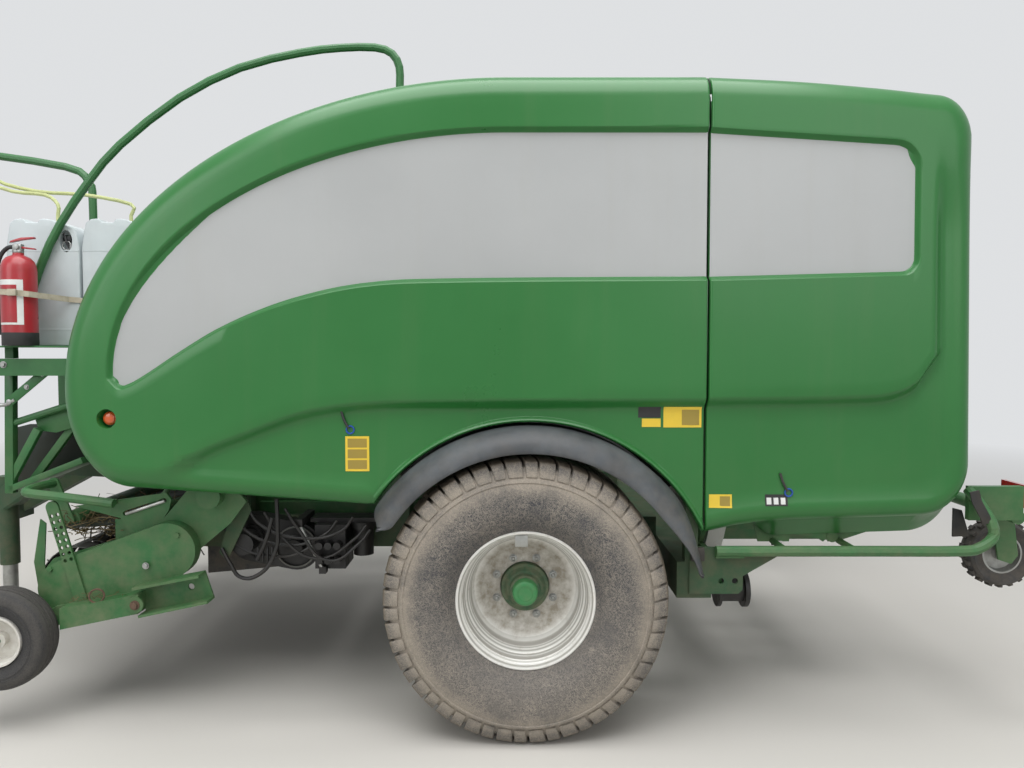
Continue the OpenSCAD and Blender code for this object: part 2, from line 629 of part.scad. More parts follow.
module chassis_frame() {
    color("#35643a") {
        both() {
            block([beam_front_x, -beam_y - beam_w / 2, beam_z - beam_h / 2],
                [cross_x - cross_w / 2, -beam_y + beam_w / 2, beam_z + beam_h / 2]);
            // Front uprights that carry the drawbar's rear end
            block([beam_front_x, -beam_y - 40, beam_z], [beam_front_x + 110, -beam_y + 40, 1180]);
            // Mudguard outrigger post
            block([170, -beam_y - beam_w / 2, 840], [210, -beam_y - beam_w / 2 + 40, 1030]);
            // Corner bracket with two holes, and the post that backs the door
            difference() {
                plate_xz(-1262, -1250) polygon([[1492, 622], [1705, 622], [1724, 640], [1724, 700],
                    [1880, 790], [1880, 815], [1492, 830]]);
                for (x = [1630, 1690]) bar_y(x, 678, 13, -1270, -1240, 24);
            }
            block([1475, -post_y - post_w / 2, cross_z - 40], [1530, -post_y + post_w / 2, 1330]);
            door_arch();
            // Bracket and pin that carry the pick-up
            block([pivot_x - 70, -beam_y - 40, beam_z], [pivot_x + 70, -beam_y + 40, pivot_z + 60]);
            bar_y(pivot_x, pivot_z, pivot_r, -pickup_half - 40, -beam_y);
            plate_xz(-1010, -1000) polygon([[-720, 1050], [-530, 1050], [-492, 934], [-607, 698],
                [-644, 736], [-580, 940], [-720, 960]]);
        }
        block([beam_front_x, -660, 960], [beam_front_x + 90, 660, 1050]);
        block([300, -660, beam_z - 50], [400, 660, beam_z + 30]);
        block([cross_x - cross_w / 2, -post_y - post_w / 2, cross_z - 80],
            [cross_x + cross_w / 2, post_y + post_w / 2, cross_z + 80]);
    }
}

module drawbar() {
    color("#35643a") difference() {
        union() {
            both() {
                hull() {
                    block([beam_front_x - 30, -640, 1010], [beam_front_x - seat_gap, -500, 1150]);
                    block([-1760, -440, 1010], [-1730, -300, 1150]);
                }
                hull() {
                    block([-1760, -440, 1010], [-1730, -300, 1150]);
                    block([-2520, -130, 560], [-2490, -10, 680]);
                }
            }
            block([-2930, -75, 500], [-2480, 75, 640]);
            block([-1280, -500, 1010], [-1200, 500, 1090]);
            block([-2330, -200, 660], [-2260, 200, 720]);
            translate([eye_x, 0, eye_z - 22]) cylinder(r = 75, h = 44, $fn = 64);
            block([eye_x + 40, -45, eye_z - 22], [-2920, 45, eye_z + 22]);
            // Jack sleeve
            translate([jack_x, jack_y, 470]) cylinder(r = jack_r + 12, h = 500, $fn = 48);
            block([jack_x - 30, jack_y, 760], [jack_x + 30, -150, 820]);
        }
        translate([eye_x, 0, eye_z - 40]) cylinder(r = eye_bore_r, h = 80, $fn = 48);
        translate([jack_x, jack_y, 460]) cylinder(r = jack_r + run_gap, h = 480, $fn = 48);
    }
}

module jack_leg() {
    color("#8d9091") translate([jack_x, jack_y, 0]) {
        cylinder(r = 120, h = 10, $fn = 48);
        translate([0, 0, 10]) cylinder(r1 = 70, r2 = jack_r + 4, h = 24, $fn = 48);
        translate([0, 0, 10]) cylinder(r = jack_r, h = 560, $fn = 48);
    }
}

pto_z = 1180;
pto_r = 17.5;
module gearbox() {
    color("#2f6e45") {
        block([-1290, -170, 1090 + seat_gap], [-1080, 170, 1400]);
        translate([-1290, 0, pto_z]) rotate([0, -90, 0]) cylinder(r = 75, h = 60, $fn = 48);
        for (s = [-1, 1]) bar_y(-1180, 1250, 60, s > 0 ? 165 : -640, s > 0 ? 640 : -165);
    }
    color("#9a9c9e") translate([-1345, 0, pto_z]) rotate([0, -90, 0])
        cylinder(r = pto_r, h = 110, $fn = 32);
}

// Bale chamber: side walls, slatted rollers and the gate that swings up at the rear
module ring_sector_2d(a0, a1, ri, ro) {
    steps = 16;
    polygon(concat([for (i = [0 : steps]) let (a = a0 + (a1 - a0) * i / steps) ro * [cos(a), sin(a)]],
        [for (i = [steps : -1 : 0]) let (a = a0 + (a1 - a0) * i / steps) ri * [cos(a), sin(a)]]));
}
chamber_ro = 830;
fixed_from = 92;
fixed_to = 352;
gate_from = -6;
gate_to = 88;
module chamber_walls() {
    color(green) both() plate_xz(-chamber_half - wall_t, -chamber_half) {
        difference() {
            union() {
                translate([chamber_x, chamber_z])
                    ring_sector_2d(fixed_from, fixed_to, 200, chamber_ro);
                polygon([[beam_front_x + 100, beam_z + 60], [beam_front_x + 100, chamber_z],
                    [chamber_x, chamber_z - 100], [600, 1330], [660, beam_z + 60]]);
            }
            translate([chamber_x, chamber_z]) circle(r = 240, $fn = 48);
        }
    }
    color(green) {
        plate_xz(-chamber_half, chamber_half) translate([chamber_x, chamber_z])
            ring_sector_2d(104, 168, chamber_ro - 8, chamber_ro);
        both() {
            block([-560, -beam_y + 20, beam_z + beam_h / 2], [640, -chamber_half - wall_t,
                beam_z + beam_h / 2 + 60]);
            bar_y(gate_pivot_x, gate_pivot_z, gate_pin_r, -gate_out - 12, -chamber_half);
        }
    }
}
roller_ring_r = bale_r + 100;
module slatted_roller(a) {
    translate([chamber_x + roller_ring_r * cos(a), -chamber_half + seat_gap,
        chamber_z + roller_ring_r * sin(a)]) rotate([-90, 0, 0]) {
        l = 2 * chamber_half - 2 * seat_gap;
        linear_extrude(l) for (s = [0 : 9]) rotate(s * 36) translate([roller_r - 14, -6])
            square([14, 12]);
        cylinder(r = roller_r - 10, h = l, $fn = 48);
    }
}
module chamber_rollers() {
    color("#5d615f") for (a = concat(upper_rollers, lower_rollers)) slatted_roller(a);
}
module gate_walls() {
    color(green) {
        both() plate_xz(-gate_out, -gate_in) difference() {
            union() {
                translate([chamber_x, chamber_z])
                    ring_sector_2d(gate_from, gate_to, 330, chamber_ro - 4);
                link_2d([gate_pivot_x, gate_pivot_z], [chamber_x + 100, chamber_z + 730], 50);
            }
            translate([gate_pivot_x, gate_pivot_z]) circle(r = gate_pin_r + run_gap, $fn = 48);
        }
        plate_xz(-gate_in, gate_in) translate([chamber_x, chamber_z])
            ring_sector_2d(10, 76, chamber_ro - 10, chamber_ro - 4);
    }
}
module gate_rollers() {
    color("#5d615f") for (a = [2, 22, 42, 62, 80]) {
        slatted_roller(a);
        bar_y(chamber_x + roller_ring_r * cos(a), chamber_z + roller_ring_r * sin(a), 20,
            -gate_in + seat_gap, gate_in - seat_gap, 32);
    }
}

// Left side: chains and sprockets that drive the fixed rollers
sprocket_teeth = 16;
chain_pitch = 25.4;
sprocket_r = chain_pitch * sprocket_teeth / (2 * PI);
chain_y = chamber_half + wall_t + 8;
chain_w = 12;
upper_rollers = [108, 128, 148, 168, 188];
lower_rollers = [254, 274, 294, 314, 334];
rear_rollers = [314, 334];
function roller_at(a) = [chamber_x, chamber_z] + roller_ring_r * [cos(a), sin(a)];
function arc_about(p, r, from, to, n) = [for (i = [0 : n]) let (t = from + (to - from) * i / n)
    p + r * [cos(t), sin(t)]];
// Route of a chain round a row of sprockets, counter-clockwise, and points at one pitch along it
function chain_route(row, r) =
    let (n = len(row) - 1, mid = (row[0] + row[n]) / 2)
    concat(arc_about(roller_at(row[0]), r, mid - 180, row[0], 12),
        [for (i = [1 : 1 : n - 1]) roller_at(row[i]) + r * [cos(row[i]), sin(row[i])]],
        arc_about(roller_at(row[n]), r, row[n], mid + 180, 12));
function run_lengths(path, i = 0, sum = 0) = i == len(path) ? [sum]
    : concat([sum], run_lengths(path, i + 1, sum + norm(path[(i + 1) % len(path)] - path[i])));
function at_length(path, runs, d) =
    let (i = max([for (k = [0 : len(path) - 1]) if (runs[k] <= d) k]),
        a = path[i], b = path[(i + 1) % len(path)])
    a + (b - a) * (d - runs[i]) / (runs[i + 1] - runs[i]);
module chain_loop(row) {
    path = chain_route(row, sprocket_r);
    runs = run_lengths(path);
    total = runs[len(path)];
    count = 2 * round(total / chain_pitch);
    step = total / count;
    centre = [for (i = [0 : count - 1]) at_length(path, runs, i * step)];
    function across(i) = let (d = centre[(i + 1) % count] - centre[(i + count - 1) % count])
        [d.y, -d.x] / norm(d);
    function edge(side) = [for (i = [0 : count - 1])
        centre[i] + side * (i % 2 == 0 ? 9 : 5.5) * across(i)];
    plate_xz(-chain_y - chain_w, -chain_y) polygon(concat(edge(1), edge(-1)),
        [[for (i = [0 : count - 1]) i], [for (i = [0 : count - 1]) count + i]]);
}
module sprocket(a) {
    p = roller_at(a);
    step = 360 / sprocket_teeth;
    plate_xz(-chain_y - chain_w - 3, -chain_y - chain_w + 1) translate(p)
        polygon([for (i = [0 : sprocket_teeth - 1], c = [[0, -7], [0.32, 7], [0.5, 8], [0.68, 7]])
            let (t = (i + c.x) * step) (sprocket_r + c.y) * [cos(t), sin(t)]]);
    bar_y(p.x, p.y, sprocket_r - 9, -chain_y - chain_w, -chain_y);
    bar_y(p.x, p.y, 30, -chain_y - chain_w - 14, -chamber_half - wall_t - seat_gap, 32);
}
module roller_drive() {
    color("#4a4c4a") for (row = [upper_rollers, rear_rollers]) {
        for (a = row) sprocket(a);
        chain_loop(row);
    }
}

net_half = 575;
module net_box() {
    color(green) {
        plate_xz(-net_half, net_half) polygon(concat([[-1000, 1760], [-1170, 1770],
            [-1180, 1800], [-1180, 2120], [-1160, 2180], [-1110, 2230], [-960, 2280], [-860, 2200]],
            [for (a = [143 : 4.5 : 170]) [chamber_x + (chamber_ro + 1) * cos(a),
            chamber_z + (chamber_ro + 1) * sin(a)]]));
    }
}
// Rotor housing and chopper floor between the pick-up and the chamber
module intake() {
    color("#2e3032") {
        difference() {
            plate_xz(-600, 600) polygon([[-860, 520], [-430, 560], [-330, 640], [-330, 800],
                [-860, 800]]);
            bar_y(-640, 770, 210, -570, 570);
            block([-870, -570, 612], [-640, 570, 810]);
        }
        bar_y(-640, 770, 60, -600, 600);
        both() block([-700, -beam_y + beam_w / 2 + seat_gap, 720], [-500, -599, 790]);
        for (i = [-7 : 7]) plate_xz(i * 74 - 4, i * 74 + 4) translate([-640, 770])
            rotate(i * 24) polygon([for (k = [0 : 9]) let (r = k % 2 ? 90 : 196)
                r * [cos(k * 36), sin(k * 36)]]);
    }
}

// Drives that hang on the side beams below the front doors
beam_out = beam_y + beam_w / 2 + seat_gap;
module floor_drives() {
    color("#2b2d2e") both() {
        plate_xz(-840, -beam_out) link_2d([-545, 765], [-330, 722], 116);
        for (i = [0 : 6]) bar_y(-545 + 96 * cos(90 + 30 * i), 765 + 96 * sin(90 + 30 * i), 11, -848,
            -839, 6);
        bar_y(-545, 765, 62, -868, -839);
        bar_y(-545, 765, 50, -980, -867);
        bar_y(-330, 722, 44, -900, -839);
        // Valve block with a row of solenoids, and its carrier on the beam
        block([-215, -940, 640], [-70, -beam_out, 850]);
        for (x = [-185, -143, -101]) for (z = [690, 760]) bar_y(x, z, 17, -990, -939, 24);
        block([-250, -880, 850], [60, -beam_out, 870]);
        // Oil filter and its head
        translate([0, -850, 690]) cylinder(r = 48, h = 130, $fn = 32);
        translate([0, -850, 819]) cylinder(r = 58, h = 32, $fn = 32);
    }
    color("#b9babb") both() rod([-283, -975, 873], [-170, -975, 648], 7);
    color("#2b2d2e") both() {
        block([-298, -985, 850], [-262, -beam_out, 886]);
        block([-186, -985, 628], [-154, -939, 660]);
    }
}

// Rams of the gate and of the pick-up; each rod ends in an eye beside what it moves
gate_ram_y = 720;
gate_ram_foot = [300, 905];
gate_ram_eye = [470, 2080];
lift_ram_y = 862;
lift_ram_foot = [-846, 1130];
lift_ram_eye = [-1005, 925];
module ram(foot, eye, y, body_r, share) {
    a = [foot.x, -y, foot.y];
    b = [eye.x, -y, eye.y];
    color("#35643a") {
        bar_y(foot.x, foot.y, body_r + 4, -y - 22, -y + 22, 32);
        rod(a, a + (b - a) * share, body_r, 32);
        rod(a + (b - a) * (share - 0.03), a + (b - a) * share, body_r + 5, 32);
    }
    color("#c3c5c6") {
        rod(a, a + (b - a) * 0.96, body_r * 0.58, 32);
        bar_y(eye.x, eye.y, body_r + 2, -y - 20, -y + 20, 32);
    }
}
module rams() {
    both() {
        ram(gate_ram_foot, gate_ram_eye, gate_ram_y, 33, 0.62);
        color("#8d9091") bar_y(gate_ram_eye.x, gate_ram_eye.y, 17, -gate_ram_y, -gate_out - seat_gap,
            32);
        color("#35643a") block([gate_ram_foot.x - 45, -gate_ram_y - 20, beam_z + beam_h / 2 + seat_gap],
            [gate_ram_foot.x + 45, -gate_ram_y + 20, gate_ram_foot.y]);
        ram(lift_ram_foot, lift_ram_eye, lift_ram_y, 26, 0.55);
        color("#8d9091") bar_y(lift_ram_foot.x, lift_ram_foot.y, 15, -lift_ram_y,
            -beam_y - 40 - seat_gap, 32);
    }
}

// Wrapper: a horseshoe frame, its guide rollers, the ring and two film dispensers
horse_ri = 1000;
horse_ro = 1120;
guide_ring_r = ring_ro + guide_r + seat_gap;
guide_angles = [-43.7, 40, 140, 223.7];
module ring_frame() {
    color(green) {
        translate([ring_x - 40, 0, ring_z]) rotate([90, 0, 90]) linear_extrude(20)
            ring_sector_2d(-46, 226, horse_ri, horse_ro);
        both() {
            block([ring_x - 45, -1240, cross_z + 20], [ring_x - 20, -700, cross_z + 80]);
            block([cross_x + cross_w / 2, -1240, cross_z - 60], [ring_x - 20, -1100, cross_z + 80]);
            block([seam_x + arch_half_w + seat_gap, -post_y - 30, 1280], [ring_x - 20, -1060, 1330]);
        }
        for (a = guide_angles) translate([ring_x - 40, 0, ring_z]) rotate([90, 0, 90])
            linear_extrude(20) link_2d(guide_ring_r * [cos(a), sin(a)],
                (horse_ro - 40) * [cos(a), sin(a)], 40);
        for (a = guide_angles) translate([ring_x - 20, guide_ring_r * cos(a),
            ring_z + guide_ring_r * sin(a)]) rotate([0, 90, 0]) cylinder(r = 16, h = ring_w + 14, $fn = 32);
    }
}
module guide_rollers() {
    color(black) for (a = guide_angles) translate([ring_x - 14, guide_ring_r * cos(a),
        ring_z + guide_ring_r * sin(a)]) rotate([0, 90, 0]) difference() {
        cylinder(r = guide_r, h = ring_w + 6, $fn = 48);
        translate([0, 0, -1]) cylinder(r = 16 + seat_gap, h = ring_w + 40, $fn = 32);
    }
}
module wrap_ring() {
    color("#d8d9d6") translate([ring_x, 0, ring_z]) rotate([0, 90, 0]) rotate_extrude($fn = 120)
        polygon([[ring_ri, 0], [ring_ro, 0], [ring_ro, ring_w], [ring_ro - 24, ring_w],
            [ring_ro - 24, ring_w - 10], [ring_ro - 24, 10], [ring_ri + 24, 10],
            [ring_ri + 24, ring_w], [ring_ri, ring_w]]);
}
dispenser_x = ring_x + ring_w + 20;
dispenser_r = 1085;
module film_dispensers() {
    color("#8e3a2c") for (s = [0, 180]) translate([0, 0, ring_z]) rotate([s, 0, 0])
        translate([0, dispenser_r, 0]) {
            block([ring_x + ring_w, -60, -150], [dispenser_x, 20, 150]);
            block([dispenser_x, -40, 150], [dispenser_x + film_l + 40, 0, 180]);
            block([dispenser_x, -40, -180], [dispenser_x + film_l + 40, 0, -150]);
            block([dispenser_x + film_l + 20, -60, -180], [dispenser_x + film_l + 40, 40, 180]);
            block([dispenser_x, -60, -180], [dispenser_x + 10, 40, 180]);
            bar_x(-60, 158, 34, dispenser_x, dispenser_x + film_l + 20, 32);
            bar_x(-60, -158, 34, dispenser_x, dispenser_x + film_l + 20, 32);
            bar_x(0, 0, 36, dispenser_x, dispenser_x + film_l + 20, 32);
        }
}
module film_rolls() {
    color("#e4e6e4") for (s = [0, 180]) translate([0, 0, ring_z]) rotate([s, 0, 0])
        translate([0, dispenser_r, 0]) difference() {
            bar_x(0, 0, film_r, dispenser_x + 10 + seat_gap, dispenser_x + 10 + film_l, 64);
            bar_x(0, 0, 36 + seat_gap, dispenser_x, dispenser_x + film_l + 20, 32);
        }
}

// Wrapping table on two arms that pass through the ring
module table_support() {
    color(green) both() {
        block([cross_x + cross_w / 2, -565, table_pivot_z - 30], [table_pivot_x + 50, -525,
            table_pivot_z + 30]);
        bar_y(table_pivot_x, table_pivot_z, 15, -600, -524);
    }
}
module table_frame() {
    color(green) both() difference() {
        union() {
            plate_xz(-636, -622) polygon([[table_front_x - 60, table_z - 30],
                [table_front_x - 60, table_z + 40], [table_rear_x + 60, table_z + 40],
                [table_rear_x + 60, table_z - 30], [table_pivot_x + 40, table_z - 60],
                [table_pivot_x - 40, table_z - 60]]);
            plate_xz(-622, -570) polygon([[table_pivot_x - 36, table_pivot_z],
                [table_pivot_x - 36, table_z + 10], [table_pivot_x + 36, table_z + 10],
                [table_pivot_x + 36, table_pivot_z], [table_pivot_x, table_pivot_z - 30]]);
        }
        bar_y(table_pivot_x, table_pivot_z, 15 + run_gap, -640, -560);
    }
    color(green) block([table_pivot_x - 130, -622, table_z - 40], [table_pivot_x - 60, 622,
        table_z + 20]);
}
module table_rollers() {
    color("#3a3c3e") {
        for (x = [table_front_x, table_rear_x]) bar_y(x, table_z, table_roller_r,
            -515, 515);
        for (x = [table_front_x, table_rear_x]) bar_y(x, table_z, 20, -622 + seat_gap,
            622 - seat_gap);
        for (y = [-400, -130, 130, 400]) block([table_front_x, y - 55,
            table_z + table_roller_r - 2], [table_rear_x, y + 55, table_z + table_roller_r + 5]);
    }
}

// Side tubes below the rear doors, the cross tube and the wheel that turns the bale
guard_tube_r = 23;
guard_z = 815;
guard_path = smooth_path([[1600, -1285, guard_z], [2300, -1285, guard_z], [2640, -1285, guard_z],
    [2730, -1285, guard_z + 12], [2790, -1285, guard_z + 60], [2790, -1275, guard_z + 120],
    [2760, -1230, guard_z + 200], [2740, -1180, guard_z + 250]], 3);
module rear_guard() {
    color(green) {
        both() sweep(guard_path, guard_tube_r, 10, [0.05, 0.6, -0.8]);
        both() block([1600, -1290, guard_z - 30], [1720, -1262 - seat_gap, guard_z + 15]);
        both() {
            // Lever plates of the film knives, on pins from the tube
            plate_xz(-1116, -1108) polygon([[1804, 940], [1990, 940], [1975, guard_z], [1833, guard_z]]);
            plate_xz(-1116, -1108) polygon([[2150, 930], [2400, 930], [2337, 864], [2190, guard_z],
                [2150, guard_z]]);
            plate_xz(-1124, -1115) link_2d([1980, 873], [2166, 840], 20);
            bar_y(1889, 873, 18, -1126, -1115, 32);
            bar_y(2166, 840, 26, -1127, -1115, 32);
            for (x = [1900, 2200]) bar_y(x, guard_z + 4, 14, -1285, -1109, 24);
        }
        bar_y(2960, 940, 31, -1190, 1190);
        both() block([2735, -1200, 930], [2975, -1170, 1080]);
        plate_xz(turner_y - 75, turner_y - 65) polygon([[2910, 975], [3010, 975], [3040, 740],
            [turner_x + 20, 700], [turner_x - 40, 720]]);
        bar_y(turner_x, turner_z, 12, turner_y - 72, turner_y + 40, 32);
    }
}
// Two-flanged drum behind the rear cross beam
module rear_drum() {
    drum_x = ring_x - 20 + seat_gap;
    color("#232526") both() {
        bar_x(-1130, 607, 58, drum_x, 1780);
        bar_x(-1130, 607, 80, drum_x, drum_x + 14, 64);
        bar_x(-1130, 607, 82, 1756, 1776, 64);
    }
}
module turner_tyre() {
    color("#2b2a29") translate([turner_x, turner_y, turner_z]) rotate([90, 0, 0]) union() {
        rotate_extrude($fn = 48) polygon([[92, -40], [135, -55], [turner_r - 14, -44],
            [turner_r - 9, -20], [turner_r - 9, 20], [turner_r - 14, 44], [135, 55], [92, 40]]);
        intersection() {
            cylinder(r = turner_r, h = 200, center = true, $fn = 48);
            for (i = [0 : 19], s = [-1, 1]) rotate([0, 0, 18 * i + 4.5 * s - 4.5])
                translate([turner_r - 20, -10, s > 0 ? 4 : -34]) cube([20, 20, 30]);
        }
    }
}
module turner_rim() {
    color("#9a9c9e") translate([turner_x, turner_y, turner_z]) rotate([90, 0, 0]) difference() {
        rotate_extrude($fn = 48) polygon([[12, -34], [32, -34], [32, -8], [76, -8], [84, -40],
            [92 - seat_gap, -40], [92 - seat_gap, 40], [84, 40], [76, 8], [32, 8], [32, 34],
            [12, 34]]);
        translate([0, 0, -50]) cylinder(r = 12 + run_gap, h = 100, $fn = 32);
    }
}
module rear_lamps() {
    color("#b5332b") both() block([2995 + seat_gap, -1190, 995], [3030, -1050, 1075]);
    color(black) both() block([2975 + seat_gap, -1200, 985], [2995, -1040, 1085]);
}

// Roof rails with the hinge pins of the doors
module roof_frame() {
    color(green) {
        both() {
            block([120, -rail_y - 25, rail_z - 30], [2500, -rail_y + 25, rail_z + 30]);
            for (x = concat(front_hinges, rear_hinges)) {
                for (d = [-14, hinge_lug_w + 2]) plate_yz(x + d, 12) polygon([[-rail_y, rail_z + 10],
                    [-rail_y, rail_z + 60], [-hinge_y - 18, hinge_z + 18],
                    [-hinge_y - 18, hinge_z - 18], [-rail_y, rail_z - 20]]);
                bar_x(-hinge_y, hinge_z, hinge_pin_r, x - 14, x + hinge_lug_w + 14, 32);
            }
            block([130, -rail_y - 20, 1300], [180, -rail_y + 20, rail_z - 20]);
            block([130, -rail_y - 20, 1300], [180, -chamber_half - wall_t - seat_gap, 1340]);
            block([ring_x - 60, -rail_y - 20, 1950], [ring_x - 40 - seat_gap, -rail_y + 20,
                rail_z - 20]);
        }
        for (x = [130, 1400, 2440]) block([x, -rail_y + 20, rail_z - 20], [x + 50, rail_y - 20,
            rail_z + 20]);
    }
}
module plate_yz(x, t) {
    translate([x, 0, 0]) rotate([90, 0, 90]) linear_extrude(t) children();
}

hoop_y = -880;
hoop_points = [[-1655, deck_z + 6.8], [-1524, 2070], [-1424, 2273], [-1276, 2484], [-1130, 2648],
    [-843, 2867], [-558, 3006], [-275, 3075], [-86, 3098], [78, 3100], [158, 3072], [192, 3010],
    [194, 2930], [194, rail_z + 30 + seat_gap]];
module guard_hoops() {
    color(green) both() sweep([for (p = smooth_path([for (q = hoop_points) [q.x, hoop_y, q.y]], 2)) p],
        hoop_r, 10);
}

module platform() {
    color(green) {
        block([-1720, -1000, deck_z - 8], [-1216, 1000, deck_z]);
        block([-1217, -940, deck_z - 8], [-985, 940, deck_z]);
        both() {
            block([-1700, -975, 1560], [-1220, -935, 1640]);
            block([-1690, -900, 1640], [-1650, -860, deck_z - 8]);
            block([-1310, -975, 1640], [-1270, -860, deck_z - 8]);
            block([-1700, -935, 1580], [-1650, 0, 1630]);
            block([-1700, -460, 1150 + seat_gap], [-1650, -410, 1600]);
            block([-1320, -545, 1150 + seat_gap], [-1270, -495, 1600]);
            block([-1320, -935, 1580], [-1270, 0, 1630]);
        }
    }
}
canister_y = -720;
module canisters() {
    color("#c9cdc9") for (x = [-1700, -1700 + canister_w + 12]) hull() {
        for (dx = [30, canister_w - 30], dy = [-105, 105]) translate([x + dx, canister_y + dy,
            deck_z + seat_gap]) cylinder(r = 30, h = canister_h - 60, $fn = 24);
        for (dx = [60, canister_w - 60], dy = [-70, 70]) translate([x + dx, canister_y + dy,
            deck_z + canister_h - 60]) cylinder(r = 30, h = 60, $fn = 24);
    }
}
extinguisher_x = -1560;
extinguisher_y = -982;
module extinguisher() {
    color("#a81f2a") translate([extinguisher_x, extinguisher_y, deck_z + seat_gap]) {
        cylinder(r = 75, h = 380, $fn = 48);
        translate([0, 0, 380]) cylinder(r1 = 75, r2 = 24, h = 40, $fn = 48);
        translate([0, 0, 420]) cylinder(r = 20, h = 40, $fn = 32);
    }
}
module hose_support() {
    color(green) sweep(smooth_path([[-1480, -480, deck_z + seat_gap], [-1480, -480, 2420],
        [-1500, -480, 2560], [-1620, -480, 2640], [-2150, -480, 2720]], 3), 20, 10);
}
module feed_hoses() {
    color("#c9cf8e") {
        for (i = [0 : 1]) sweep(smooth_path([[-2120 + 150 * i, -509.3, 2690], [-2000 + 60 * i, -560, 2560],
            [-1800 + 120 * i, -640, 2480], [-1600 + 200 * i, -700, 2450],
            [-1525 + 362 * i, canister_y, 2400], [-1525 + 362 * i, canister_y, 2345],
            [-1525 + 362 * i, canister_y, deck_z + canister_h + seat_gap]], 3), 9, 8, [0, 1, 0.1]);
    }
}

// Pick-up: side plates up to the lift pivot, drive cases, press roller on its bent tubes
case_rear = [-837, 772];
case_r = 127;
press_roller = [-1400, 862];
press_half = 890;
press_tube_r = 21;
press_path = smooth_path([[-1068, -1130, 991], [-1300, -1130, 1020], [-1440, -1130, 1036],
    [-1478, -1100, 1041], [-1484, -1030, 1043], [-1478, -960, 1044], [-1470, -900, 1044]], 3);
module pickup_frame() {
    color(green) {
        both() {
            difference() {
                union() {
                    plate_xz(-pickup_half - 16, -pickup_half) polygon([[pivot_x - 67, pivot_z + 46],
                        [pivot_x + 93, pivot_z + 46], [-497, 985], [-573, 883], [-723, 758],
                        [-790, 655], [-900, 540], [-1160, 470], [-1400, 476], [-1462, 560],
                        [-1456, 640], [-1390, 720], [-1030, 830], [-1077, 908], [-1285, 963],
                        [-866, 1025], [-842, 994], [-855, 945], [-880, 905], [-767, 1038]]);
                    bar_y(pivot_x, pivot_z, 54, -pickup_half - 70, -pickup_half);
                }
                bar_y(pivot_x, pivot_z, pivot_r + run_gap, -pickup_half - 41, -pickup_half + 10);
                bar_y(reel_x, reel_z, 20 + run_gap, -pickup_half - 20, -pickup_half + 10);
                plate_xz(-pickup_half - 17, -pickup_half + 1) link_2d([-1055, 930], [-875, 990], 11);
            }
            // Drive case with its round ends and cover bolts
            plate_xz(-pickup_half - 80, -pickup_half - 16) link_2d([reel_x, reel_z], case_rear, case_r);
            for (p = [[-930, 708], [-1368, 690], [-790, 845]])
                bar_y(p.x, p.y, 13, -pickup_half - 90, -pickup_half - 79, 6);
            sweep(press_path, press_tube_r, 10, [0, 0.1, 1]);
            block([-1130, -1128, 975], [-1090, -pickup_half - 10, 996]);
            plate_xz(-press_half - 20, -press_half - 8) link_2d([-1470, 1044], press_roller, 26);
            bar_y(press_roller.x, press_roller.y, 14, -press_half - 20, -press_half + 2, 24);
            plate_xz(-pickup_half, -pickup_half + 10) polygon([[-1110, 760], [-1110, 900],
                [-1010, 900], [-960, 800]]);
        }
        bar_y(press_roller.x, press_roller.y, 44, -press_half, press_half);
        bar_y(-1000, 640, 38, -pickup_half, pickup_half);
        bar_y(-1060, 850, 40, -pickup_half, pickup_half);
    }
    color("#2b2d2e") both() plate_xz(-pickup_half - 1, -pickup_half + 6) polygon([[-1456, 900],
        [-1490, 700], [-1470, 560], [-1420, 540], [-1442, 690], [-1430, 880]]);
}
module pickup_reel() {
    color("#6b6e6c") {
        bar_y(reel_x, reel_z, 45, -pickup_half + 12, pickup_half - 12);
        bar_y(reel_x, reel_z, 20, -pickup_half - 10, pickup_half + 10);
        for (y = [-pickup_half + 20, -360, 360, pickup_half - 26]) plate_xz(y, y + 6)
            translate([reel_x, reel_z]) circle(r = reel_bar_r + 18, $fn = 48);
        for (b = [0 : bar_count - 1]) let (a = 360 * b / bar_count + 20) {
            translate([reel_x + reel_bar_r * cos(a), 0, reel_z + reel_bar_r * sin(a)]) {
                bar_y(0, 0, 14, -pickup_half + 14, pickup_half - 14, 24);
                for (i = [0 : tine_count - 1]) let (y = (i - (tine_count - 1) / 2) * band_pitch)
                    translate([0, y, 0]) rotate([0, -a + 8, 0]) rotate([0, 90, 0])
                        cylinder(r = 4, h = tine_r - reel_bar_r, $fn = 6);
            }
        }
    }
}
band_pitch = 2 * pickup_half / (tine_count + 1);
band_w = band_pitch - 30;
band_r = 164;
strip_end = [-945, 706];
module stripper_bands() {
    color("#8b8f8c") {
        for (i = [0 : tine_count]) let (y = (i - tine_count / 2) * band_pitch)
            plate_xz(y - band_w / 2, y + band_w / 2) translate([reel_x, reel_z]) {
                ring_sector_2d(62, 290, band_r, band_r + 4);
                polygon([band_r * [cos(62), sin(62)], (band_r + 4) * [cos(62), sin(62)],
                    strip_end - [reel_x, reel_z], strip_end - [reel_x, reel_z + 6]]);
            }
        block([strip_end.x - 10, -pickup_half + seat_gap, strip_end.y - 14],
            [strip_end.x, pickup_half - seat_gap, strip_end.y + 11]);
    }
}
arm_in = pickup_half + 80 + seat_gap;
arm_out = pickup_half + 100;
tube_out = pickup_half + 160;
strap_top = [-1346, 973];
strap_foot = [-1228, 558];
strap_rows = 8;
channel_t = 11;
